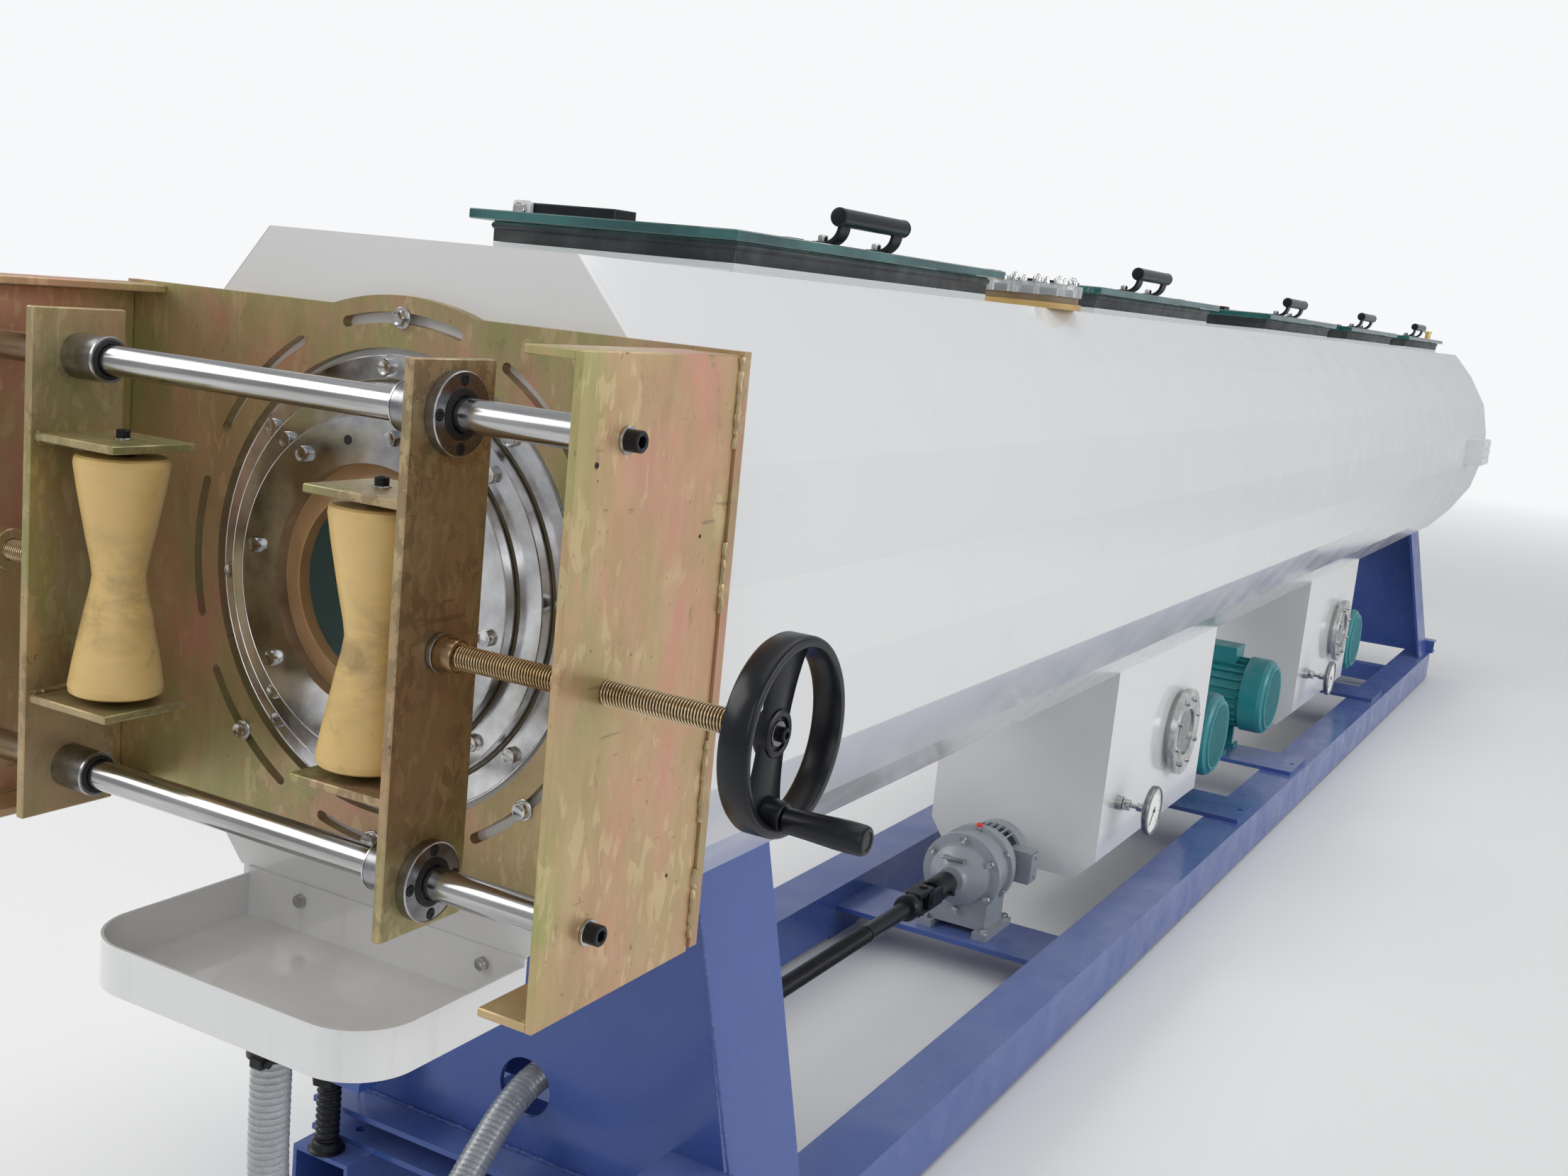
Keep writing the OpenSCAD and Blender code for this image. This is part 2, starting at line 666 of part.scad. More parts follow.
module sight(x) {
    sx = x + sight_off;
    y0 = -sump_near - neck_len;
    difference() {
        disc_y(y0 - 14, y0, sight_d / 2, sx, sight_z);
        disc_y(y0 - 30, y0 + 1, sight_glass_d / 2, sx, sight_z);
    }
    disc_y(y0 - 9, y0 - 3, sight_glass_d / 2 + 0.5, sx, sight_z);
}

module thermometer(x) {
    tx = x + thermo_off;
    z = thermo_z;
    disc_y(-sump_near - 12, -sump_near + 8, 10.5, tx, z);
    disc_y(-sump_near - 14, -sump_near, 15, tx, z);
    disc_y(-sump_near - 66, -sump_near + 60, 5, tx, z);
    translate([tx, -sump_near - 64, axis_h + z]) rotate([90, 0, 0]) rotate_extrude() polygon([[0, 0], [40, 0], [50, 5], [50, 16],
        [47, 17], [46, 14], [0, 14]]);
}

module front_sump() { color(c_white) place() sump(sump1_x); }
module rear_sump() { color(c_white) place() sump(sump1_x + sump_pitch); }
module front_sight_glass() { color(c_steel) place() sight(sump1_x); }
module rear_sight_glass() { color(c_steel) place() sight(sump1_x + sump_pitch); }
module front_thermometer() { color(c_steel) place() thermometer(sump1_x); }
module rear_thermometer() { color(c_steel) place() thermometer(sump1_x + sump_pitch); }

// Base

beam_x1 = tank_len - 220;
beam_t = 6;
foot_end = 60;
foot_len = 120;

module beam(side) {
    y0 = side > 0 ? beam_out - beam_w : -beam_out;
    difference() {
        translate([beam_x0, y0, beam_bot]) cube([beam_x1 - beam_x0, beam_w, beam_h]);
        translate([beam_x0 - eps, y0 + beam_t, beam_bot + beam_t])
            cube([beam_x1 - beam_x0 + 1, beam_w - 2 * beam_t, beam_h - 2 * beam_t]);
    }
    for (k = [0 : 4]) translate([beam_x0 + foot_end + k * (beam_x1 - beam_x0 - 2 * foot_end - foot_len) / 4, y0 + 5, 0])
        cube([foot_len, beam_w - 10, foot_t]);
}

module near_beam() { color(c_blue) place() beam(-1); }
module far_beam() { color(c_blue) place() beam(1); }

plate_top = beam_top + 10;
pump_gap = 150;
pump_back = 330;
pump_plate_w = 190;
pump_xs = [sump1_x + sump_len + pump_gap, sump1_x + sump_pitch - pump_back, sump1_x + sump_pitch + sump_len + pump_gap];
drive_x = 1690;
drive_top = beam_top - 36;

module cross_members() {
    color(c_blue) place() {
        for (x = pump_xs) difference() {
            translate([x - pump_plate_w / 2, -beam_out + 12, beam_top]) cube([pump_plate_w, 2 * beam_out - 24, 10]);
            for (s = [-1, 1]) translate([x, s * (beam_out - 30), beam_top - 1]) cylinder(h = 12, r = 6);
        }
        translate([drive_x - 88, -beam_out + beam_w, drive_top - 10]) cube([165, 2 * (beam_out - beam_w), 10]);
        for (x = [beam_x0 + 330, beam_x1 - 420])
            translate([x, -beam_out + beam_w, beam_bot + 20]) cube([60, 2 * (beam_out - beam_w), 60]);
    }
}

ped_h = floor_flat - beam_top;

// the pedestal's trapezoid as [y, z] with z up from the beams
module pedestal_face(t) {
    polygon([[-flat_half + t, ped_h - t], [flat_half - t, ped_h - t], [pedestal_foot - t, -eps * (t > 0 ? 1 : 0)],
        [-pedestal_foot + t, -eps * (t > 0 ? 1 : 0)]]);
}

spindle_y = -18;
spindle_z = -741;
spindle_d = 30;
channel_h = 48;
channel_w = 56;

module pedestal_body(holed) {
    t = pedestal_t;
    difference() {
        translate([0, 0, beam_top]) rotate([90, 0, 90]) linear_extrude(height = pedestal_len) pedestal_face(0);
        translate([t, 0, beam_top]) rotate([90, 0, 90]) linear_extrude(height = pedestal_len) pedestal_face(t);
        if (holed) disc_x(-1, t + 1, hose_hole_d / 2, 24, -686);
    }
    // the foot channel across the beams
    translate([-channel_w, -beam_out - 10, beam_top]) difference() {
        cube([channel_w + eps, 2 * beam_out + 20, channel_h]);
        translate([-eps, -eps, t]) cube([channel_w - t, 2 * beam_out + 21, channel_h - 2 * t]);
        for (y = [60, beam_out + 10, 2 * beam_out - 40]) translate([channel_w / 2, y, -1]) cylinder(h = t + 2, r = 7);
    }
    if (holed) difference() {
        union() {
            translate([pedestal_len - 34, -pedestal_foot + 34, beam_top + 60]) cube([12, 2 * pedestal_foot - 68, 100]);
            disc_x(pedestal_len - 46, pedestal_len - 6, 32, spindle_y, spindle_z);
        }
        disc_x(pedestal_len - 80, pedestal_len + 20, spindle_d / 2 + run_gap, spindle_y, spindle_z);
        along_x(pedestal_len - 60, pedestal_len + 10) difference() {
            square([900, 900 + 2 * 822], center = true);
            translate([0, -822]) pedestal_face(pedestal_t - 1);
        }
    }
}

module front_pedestal() { color(c_blue) place() translate([pedestal_x, 0, 0]) pedestal_body(true); }
module rear_pedestal() {
    color(c_blue) place() translate([beam_x1 - 6, 0, 0]) mirror([1, 0, 0]) pedestal_body(false);
}

jack_h = 140;

module jack_screws() {
    color(c_dark) place() for (s = [-1, 1]) translate([pedestal_x - channel_w - 26, s * (beam_out - beam_w / 2 + 6), beam_top]) {
        cylinder(h = jack_h, r = 16);
        cylinder(h = 14, r = 24);
        translate([0, 0, jack_h - 44]) cylinder(h = 18, r = 26, $fn = 6);
    }
}

module jack_brackets() {
    color(c_blue) place() for (s = [-1, 1]) translate([pedestal_x, s * (beam_out - beam_w / 2 + 6), beam_top + jack_h - 26]) difference() {
        translate([-channel_w - 56, s > 0 ? -76 : -30, 0]) cube([channel_w + 56, 106, 12]);
        translate([-channel_w - 26, 0, -1]) cylinder(h = 14, r = 16.5);
    }
}

// Drive

module gear_reducer() {
    color(c_grey) place() {
        translate([drive_x, spindle_y, axis_h + spindle_z]) rotate([0, 90, 0]) rotate_extrude() polygon([[0, -96], [26, -96], [30, -84],
            [44, -72], [58, -60], [62, -46], [80, -44], [80, -30], [72, -28], [72, 20], [80, 22], [80, 40], [72, 42], [70, 52], [0, 52]]);
        for (s = [-1, 1]) translate([drive_x - 62, spindle_y + s * 58 - 15, drive_top]) cube([132, 30, 14]);
        translate([drive_x - 44, spindle_y - 60, drive_top + 13]) cube([92, 120, 60]);
    }
}

joint_x = drive_x - 225;

module output_shaft() {
    disc_x(drive_x - 145, drive_x - 96, 14, spindle_y, spindle_z);
}

module drive_motor() {
    color(c_grey) place() {
        difference() {
            translate([drive_x + 52, spindle_y, axis_h + spindle_z]) rotate([0, 90, 0]) rotate_extrude() polygon([[0, 0], [72, 0], [72, 12],
                [58, 14], [58, 66], [64, 68], [64, 100], [58, 108], [0, 108]]);
            for (a = [0 : 20 : 340]) translate([drive_x + 52, spindle_y, axis_h + spindle_z]) rotate([a, 0, 0])
                translate([19, -3, 53]) cube([42, 6, 8]);
        }
        slab([drive_x + 75, drive_x + 117], [spindle_y - 96, spindle_y - 46], [spindle_z - 31, spindle_z + 33]);
    }
}

module drive_spindle() {
    color(c_dark) place() {
        disc_x(pedestal_x + pedestal_len - 60, joint_x - 68, spindle_d / 2, spindle_y, spindle_z);
        disc_x(joint_x - 80, joint_x - 42, 24, spindle_y, spindle_z);
        disc_x(joint_x + 42, drive_x - 110, 24, spindle_y, spindle_z);
        output_shaft();
        for (s = [-1, 1]) slab([joint_x - 44, joint_x + 14], [spindle_y - 20, spindle_y + 20], [spindle_z + s * 18 - 5, spindle_z + s * 18 + 5]);
        for (s = [-1, 1]) slab([joint_x - 14, joint_x + 44], [spindle_y + s * 18 - 5, spindle_y + s * 18 + 5], [spindle_z - 20, spindle_z + 20]);
        disc_y(spindle_y - 25, spindle_y + 25, 8, joint_x, spindle_z);
        translate([joint_x, spindle_y, axis_h + spindle_z - 25]) cylinder(h = 50, r = 8);
        slab([joint_x - 11, joint_x + 11], [spindle_y - 11, spindle_y + 11], [spindle_z - 11, spindle_z + 11]);
    }
}

// Pumps

pump_z = -640;

module pump_motor(x) {
    h = axis_h + pump_z;
    translate([x, -205, h]) rotate([-90, 0, 0]) rotate_extrude() polygon([[0, 0], [84, 0], [100, 10], [104, 20], [104, 70], [92, 72],
        [86, 74], [86, 214], [96, 216], [96, 232], [60, 240], [0, 240]]);
    for (a = [0 : 15 : 345]) translate([x, -128, h]) rotate([0, a, 0]) translate([-2, 0, 80]) cube([4, 138, 18]);
    for (s = [-1, 1]) translate([x + s * 62 - 24, -110, plate_top]) cube([48, 90, 12]);
    for (s = [-1, 1]) translate([x + s * 58 - 8, -100, plate_top + 11]) cube([16, 70, h - plate_top - 72]);
    translate([x - 45, -100, h + 84]) cube([90, 96, 44]);
}

module pump_motors() { color(c_teal) place() for (x = pump_xs) pump_motor(x); }

module pump_casings() {
    color(c_steel) place() for (x = pump_xs) {
        h = axis_h + pump_z;
        translate([x, 35, h]) rotate([-90, 0, 0]) rotate_extrude() polygon([[0, 0], [62, 0], [96, 14], [100, 30], [100, 62], [88, 76],
            [40, 84], [40, 112], [52, 112], [52, 124], [0, 124]]);
        translate([x, 80, h + 60]) cylinder(h = 120, r = 24);
        translate([x, 80, h + 168]) cylinder(h = 14, r = 40);
        translate([x - 50, 60, plate_top]) cube([100, 50, h - plate_top - 60]);
    }
}

module riser_pipes() {
    color(c_white) place() for (x = pump_xs) {
        translate([x, 80, axis_h + pump_z + 182]) cylinder(h = -flat_z - pump_z - 182, r = 25);
    }
}

// Drip tray

tray_z = -flat_z - 7;
tray_mid = -8;

module tray_plan(t) {
    r = tray_corner_r - t;
    hull_y = tray_half - tray_corner_r;
    difference() {
        union() {
            translate([-tray_reach + tray_corner_r, -tray_half + t]) square([tray_reach - tray_corner_r - t, 2 * tray_half - 2 * t]);
            translate([-tray_reach + t, -hull_y]) square([tray_reach - 2 * t, 2 * hull_y]);
            for (s = [-1, 1]) translate([-tray_reach + tray_corner_r, s * hull_y]) circle(r = r);
        }
    }
}

drain_x = -185;
drain_y = -45;
hose_d = 40;

module drip_tray() {
    color(c_white) place() difference() {
        union() {
            translate([0, tray_mid, axis_h + tray_z - tray_h]) linear_extrude(height = tray_h) tray_plan(0);
            translate([-tray_t, tray_mid - tray_half, axis_h + tray_z - 2]) cube([tray_t, 2 * tray_half, 10]);
            translate([drain_x, drain_y, axis_h + tray_z - tray_h - 24]) cylinder(h = 24 + eps, r = hose_d / 2 + 3);
        }
        translate([0, tray_mid, axis_h + tray_z - tray_h + tray_t]) linear_extrude(height = tray_h) tray_plan(tray_t);
        translate([drain_x, drain_y, axis_h + tray_z - tray_h - 30]) cylinder(h = 40, r = hose_d / 2 - 5);
        translate([drain_x, drain_y, axis_h + tray_z - tray_h - 30]) cylinder(h = 30 - 6, r = hose_d / 2 + 0.3);
    }
}

// the drain hose's way, from the tray down and up into the pedestal's hole
hose_pts = [[-185, -45, 512], [-185, -45, 450], [-182, -44, 380], [-172, -42, 310], [-150, -38, 245], [-112, -32, 192],
    [-60, -24, 152], [0, -14, 128], [65, -4, 122], [128, 6, 134], [184, 14, 160], [232, 19, 192], [276, 22, 222],
    [324, 24, 243], [372, 25, 252]];
hose_sides = 12;

function unit(v) = v / norm(v);
function tangent(p, i) = unit(p[min(i + 1, len(p) - 1)] - p[max(i - 1, 0)]);
function side_of(t) = unit(cross(t, [0, 1, 0.02]));
function ring_at(p, i, r) = let (t = tangent(p, i), u = side_of(t), v = cross(t, u))
    [for (k = [0 : hose_sides - 1]) p[i] + r * (cos(k * 360 / hose_sides) * u + sin(k * 360 / hose_sides) * v)];

module swept(p, r) {
    n = len(p);
    s = hose_sides;
    pts = [for (i = [0 : n - 1]) for (q = ring_at(p, i, r)) q];
    sides = [for (i = [0 : n - 2]) for (k = [0 : s - 1])
        [i * s + k, i * s + (k + 1) % s, (i + 1) * s + (k + 1) % s, (i + 1) * s + k]];
    start = [[for (k = [s - 1 : -1 : 0]) k]];
    finish = [[for (k = [0 : s - 1]) (n - 1) * s + k]];
    polyhedron(points = pts, faces = concat(start, sides, finish), convexity = 6);
}

module drain_hose() {
    color([0.75, 0.77, 0.78]) place() swept(hose_pts, hose_d / 2);
}

// Fittings

module brass_valve() {
    color(c_brass) place() translate([lids[4][1] + 60, -120, axis_h + flat_z]) {
        cylinder(h = 22, r = 12);
        translate([0, 0, 22]) cylinder(h = 16, r = 16, $fn = 6);
        translate([0, 0, 38]) cylinder(h = 34, r = 10);
        translate([0, 0, 72]) cylinder(h = 6, r = 14);
    }
}

module junction_box() {
    color([0.80, 0.80, 0.79]) place() slab([tank_len - 560, tank_len - 360], [-waist_half - 60, -waist_half], [-46, 46]);
}

tank_walls();
tank_top();
tank_floor();
outlet_end_plate();
inlet_end_plate();
lid_hinges();
lid_1_frame();
lid_2_frame();
lid_3_frame();
lid_4_frame();
lid_5_frame();
lid_1_glass();
lid_2_glass();
lid_3_glass();
lid_4_glass();
lid_5_glass();
port_base();
port_cover();
outer_ring();
middle_ring();
seal_plate();
rubber_seal();
face_plate();
right_box();
left_box();
upper_shaft();
lower_shaft();
right_carriage();
right_bearings();
right_roller();
right_screw();
right_handwheel();
left_carriage();
left_bearings();
left_roller();
left_screw();
left_handwheel();
front_sump();
rear_sump();
front_sight_glass();
rear_sight_glass();
front_thermometer();
rear_thermometer();
near_beam();
far_beam();
cross_members();
front_pedestal();
rear_pedestal();
jack_screws();
jack_brackets();
gear_reducer();
drive_motor();
drive_spindle();
pump_motors();
pump_casings();
riser_pipes();
drip_tray();
drain_hose();
brass_valve();
junction_box();
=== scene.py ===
"""Looks of the spray cooling tank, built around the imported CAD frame.

Lengths in the shape code are millimetres in the machine's own frame: x from the outlet end plate,
y and z from the pipe's axis. piece() turns them into the row frame in metres.
"""

import random
from math import cos, hypot, pi, radians, sin, sqrt, tan

import bpy
from mathutils import Matrix, Vector


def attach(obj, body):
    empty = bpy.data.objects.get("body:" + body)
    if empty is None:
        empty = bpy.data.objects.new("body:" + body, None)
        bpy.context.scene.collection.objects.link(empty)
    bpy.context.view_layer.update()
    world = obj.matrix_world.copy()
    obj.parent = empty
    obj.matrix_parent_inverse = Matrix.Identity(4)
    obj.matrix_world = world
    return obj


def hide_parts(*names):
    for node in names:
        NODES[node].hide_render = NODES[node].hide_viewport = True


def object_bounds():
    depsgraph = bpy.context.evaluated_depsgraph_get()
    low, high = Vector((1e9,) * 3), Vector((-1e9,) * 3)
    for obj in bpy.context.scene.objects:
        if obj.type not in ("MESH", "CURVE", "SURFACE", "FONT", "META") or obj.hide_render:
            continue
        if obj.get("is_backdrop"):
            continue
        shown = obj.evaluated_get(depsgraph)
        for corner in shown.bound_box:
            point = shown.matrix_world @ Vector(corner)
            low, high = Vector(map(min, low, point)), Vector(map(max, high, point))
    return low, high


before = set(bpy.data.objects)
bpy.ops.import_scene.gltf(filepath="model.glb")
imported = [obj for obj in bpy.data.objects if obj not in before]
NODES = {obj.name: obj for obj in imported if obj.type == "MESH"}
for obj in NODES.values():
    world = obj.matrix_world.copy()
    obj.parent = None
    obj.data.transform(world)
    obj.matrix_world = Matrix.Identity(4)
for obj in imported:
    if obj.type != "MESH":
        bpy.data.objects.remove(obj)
CAD_LOW, CAD_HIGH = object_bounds()

# The machine's frame, as part.scad has it
MID_X, MID_Y, AXIS_H = 2848.0, 28.0, 930.0
TANK_LEN = 5940
SHAFT_X, SHAFT_Z, SHAFT_R = -180, 208, 15
BOX_X0, BOX_X1, BOX_HALF, BOX_Z, BOX_T = -248, -12, 390, 278, 8
CLAMP_Z = -4
SIDES = {"right": (-1, 212), "left": (1, 268)}
WHEEL_OFF, RIM_W, WHEEL_R, RIM_T, GRIP_LEN, WHEEL_TURN = 345, 27, 80, 9, 72, 8
PLATE_X, PLATE_Z, PLATE_T = 54, 254, 10
LEDGE_X, LEDGE_Z, LEDGE_T, LEDGE_PAST = 50, 130, 8, 45
ROLLER_IN = 75
BUSH_LEN, FLANGE_R, FLANGE_SCREW_R = 54, 37, 29.5
SCREW_D = 22
BEAM_TOP, BEAM_OUT = -822, 314
PED_X, PED_LEN = 324, 174
SUMP_X, SUMP_LEN, SUMP_NEAR = (1912, 3707), 738, 200
SIGHT_OFF, SIGHT_Z, NECK = 489, -551, 12
THERMO_OFF, THERMO_Z = 98, -635
DRIVE_X, DRIVE_TOP, SPINDLE_Y, SPINDLE_Z = 1690, -858, -18, -741
PUMP_X, PUMP_Z = (2800, 3377, 4595), -640
FLAT_Z, LID_HALF, RIM_H, FRAME_H, GLASS_T, GLASS_OVER, GLASS_END = 348, 169, 10, 34, 12, 17, 28
LID_X0, LID_X1, LID_SPAN = 302, 1090, TANK_LEN - 1420
LIDS = [(LID_X0 + f * LID_SPAN, LID_X1 + f * LID_SPAN) for f in (0, 0.273, 0.5504, 0.7732, 1)]
PORT, PORT_R = ((LIDS[0][1] + LIDS[1][0]) / 2, -140), 86
HINGE_IN, HINGE_Y, HINGE_Z, ARM_W, ARM_T, ARM_LEN = 172, 219, 402, 46, 18, 106
HANDLE_LEN, HANDLE_R, HANDLE_H, HANDLE_Y, FOOT_W = 190, 11.5, 48, -152, 26
HOSE_D = 40
HOSE = [(-185, -45, 512), (-185, -45, 450), (-182, -44, 380), (-172, -42, 310), (-150, -38, 245),
        (-112, -32, 192), (-60, -24, 152), (0, -14, 128), (65, -4, 122), (128, 6, 134), (184, 14, 160),
        (232, 19, 192), (276, 22, 222), (324, 24, 243), (372, 25, 252)]


def row(p):
    """A place in the machine's frame, in the row frame's metres."""
    return Vector(((p[0] - MID_X) / 1000, (p[1] - MID_Y) / 1000, (p[2] + AXIS_H) / 1000))


def put(name, data):
    """A new object in the scene."""
    o = bpy.data.objects.new(name, data)
    bpy.context.scene.collection.objects.link(o)
    return o


# Camera, at the photo's viewing angle
CAM_PLACE = (-1298, -1143, 332)
CAM_RIGHT, CAM_UP = (0.4845, -0.8693, 0.0977), (0.1046, 0.1685, 0.9801)
CAM_BACK = (-0.8685, -0.4647, 0.1725)
FOCAL_PX, PHOTO_W_PX, SENSOR_W = 2371.5, 2212, 36.0


def make_camera():
    data = bpy.data.cameras.new("photo_camera")
    data.sensor_width = SENSOR_W
    data.lens = FOCAL_PX / PHOTO_W_PX * SENSOR_W
    data.clip_start, data.clip_end = 0.05, 200
    cam = put("photo_camera", data)
    turn = Matrix((CAM_RIGHT, CAM_UP, CAM_BACK)).transposed()
    place = turn.to_quaternion().to_matrix().to_4x4()
    place.translation = row(CAM_PLACE)
    cam.matrix_world = place
    bpy.context.scene.camera = cam


make_camera()


# Materials
class Tree:
    """A node tree, with short calls for its nodes."""

    def __init__(self, tree):
        self.tree = tree

    def feed(self, n, key, value):
        """Links a socket's value, or sets a constant; a colour gets its alpha."""
        socket = n.inputs[key.replace("_", " ") if isinstance(key, str) else key]
        if isinstance(value, bpy.types.NodeSocket):
            self.tree.links.new(value, socket)
        else:
            socket.default_value = (*value, 1.0) if socket.type == "RGBA" else value

    def node(self, kind, *values, **named):
        """A new node. Names in small letters are its settings, the others its sockets."""
        n = self.tree.nodes.new("ShaderNode" + kind)
        for k, v in (*named.items(), *enumerate(values)):
            if str(k).islower():
                setattr(n, k, v)
            else:
                self.feed(n, k, v)
        return n

    def fac(self, value):
        """A socket; a tuple stands for the noise with these arguments."""
        return self.noise(*value) if isinstance(value, tuple) else value

    def span(self, fac, low, high, to_low=0.0, to_high=1.0):
        return self.node("MapRange", self.fac(fac), low, high, to_low, to_high).outputs[0]

    def mix(self, fac, a, b):
        n = self.node("Mix", self.fac(fac), data_type="RGBA")
        self.feed(n, 6, a)
        self.feed(n, 7, b)
        return n.outputs[2]

    def math(self, op, a, b=0.0):
        return self.node("Math", a, b, operation=op).outputs[0]

    def times(self, a, b):
        return self.math("MULTIPLY", a, b)

    def rest(self, fac):
        return self.math("SUBTRACT", 1.0, fac)

    def away(self, value, middle):
        """How far a value is from a middle."""
        return self.math("ABSOLUTE", self.math("ADD", value, -middle))


class Look(Tree):
    """A material."""

    def __init__(self, name, base, rough, metal=0.0):
        self.mat = bpy.data.materials.new(name)
        self.mat.use_nodes = True
        super().__init__(self.mat.node_tree)
        self.shader = self.tree.nodes["Principled BSDF"]
        self.set(Base_Color=base, Roughness=rough, Metallic=metal)
        self.coords = self.node("TexCoord").outputs["Object"]
        self.normal = None

    def set(self, **sockets):
        for k, v in sockets.items():
            self.feed(self.shader, k, v)
        return self

    def noise(self, scale, detail=3.0, rough=0.5, twist=0.0, shift=(0, 0, 0)):
        """Noise in the object's metres; scale is one number or one for each axis."""
        scale = scale if hasattr(scale, "__len__") else (scale,) * 3
        place = self.node("Mapping", self.coords, Scale=scale, Location=shift).outputs[0]
        n = self.node("TexNoise", place, Scale=1.0, Detail=detail, Roughness=rough, Distortion=twist)
        return n.outputs["Fac"]

    def stain(self, tone, color, low, high, most, *noise):
        """Patches of a colour over a tone, where the noise is above low; most is their strength."""
        return self.mix(self.span(noise, low, high, 0, most), tone, color)

    def up(self):
        """How far the surface faces up."""
        return self.node("SeparateXYZ", self.node("NewGeometry").outputs["Normal"]).outputs[2]

    def where(self, axis):
        return self.node("SeparateXYZ", self.coords).outputs[axis]

    def color(self, socket):
        return self.set(Base_Color=socket)

    def rough(self, noise, least, most, low=0.3, high=0.7):
        return self.set(Roughness=self.span(noise, low, high, least, most))

    def bump(self, height, strength, depth):
        """Adds to the bumps made before."""
        n = self.node("Bump", Height=self.fac(height), Strength=strength, Distance=depth)
        if self.normal is not None:
            self.feed(n, "Normal", self.normal)
        self.normal = n.outputs["Normal"]
        return self.set(Normal=self.normal)


def white_paint():
    k = Look("white_paint", (0.8, 0.8, 0.79), 0.16).set(Coat_Weight=0.5, Coat_Roughness=0.06)
    tone = k.mix((1.3, 4), (0.75, 0.75, 0.745), (0.7, 0.705, 0.705))
    k.color(k.stain(tone, (0.58, 0.56, 0.52), 0.62, 0.8, 0.25, 14, 6, 0.7))
    k.rough((9, 5), 0.12, 0.24)
    return k.bump((4, 2), 0.06, 0.003).bump((420, 2), 0.015, 0.0005).mat


def tray_paint():
    """The white paint where water stands: glossier, with grey-brown dirt on the floor."""
    k = Look("wet_white_paint", (0.78, 0.78, 0.77), 0.1).set(Coat_Weight=0.6, Coat_Roughness=0.04)
    up = k.span(k.up(), 0.7, 0.95)
    dirt = k.times(up, k.span((9, 7, 0.7, 0.5), 0.35, 0.7, 0.08, 0.42))
    tone = k.mix(dirt, k.mix((4, 4), (0.74, 0.74, 0.735), (0.68, 0.685, 0.69)), (0.5, 0.465, 0.43))
    runs = k.times(k.rest(up), k.span(((34, 34, 3), 6, 0.7), 0.55, 0.75, 0, 0.3))
    k.color(k.mix(runs, tone, (0.48, 0.46, 0.43)))
    k.rough((12, 5), 0.04, 0.2, 0.35, 0.65)
    return k.bump((6, 2), 0.2, 0.003).bump((420, 2), 0.03, 0.0005).mat


def blue_paint():
    """Blue paint with dust on its flat tops, dark stains and small chips."""
    k = Look("blue_paint", (0.05, 0.08, 0.27), 0.22)
    k.set(Coat_Weight=0.3, Coat_Roughness=0.1, Specular_IOR_Level=0.4)
    tone = k.mix((3, 5), (0.034, 0.072, 0.262), (0.054, 0.106, 0.36))
    dust = k.times(k.span(k.up(), 0.6, 0.95), k.span((5, 6, 0.6), 0.36, 0.78, 0.12, 0.5))
    tone = k.mix(dust, tone, (0.25, 0.29, 0.45))
    tone = k.stain(tone, (0.026, 0.04, 0.13), 0.64, 0.76, 0.22, (11, 11, 30), 7, 0.7, 0.4)
    chips = k.span((75, 5, 0.65), 0.75, 0.77, 0, 0.6)
    k.color(k.mix(chips, tone, (0.34, 0.34, 0.36)))
    k.rough((16, 6), 0.18, 0.42, 0.3, 0.75)
    k.bump((8, 3), 0.2, 0.003).bump((300, 3), 0.06, 0.0006).bump(chips, 0.25, -0.0002)
    return k.mat


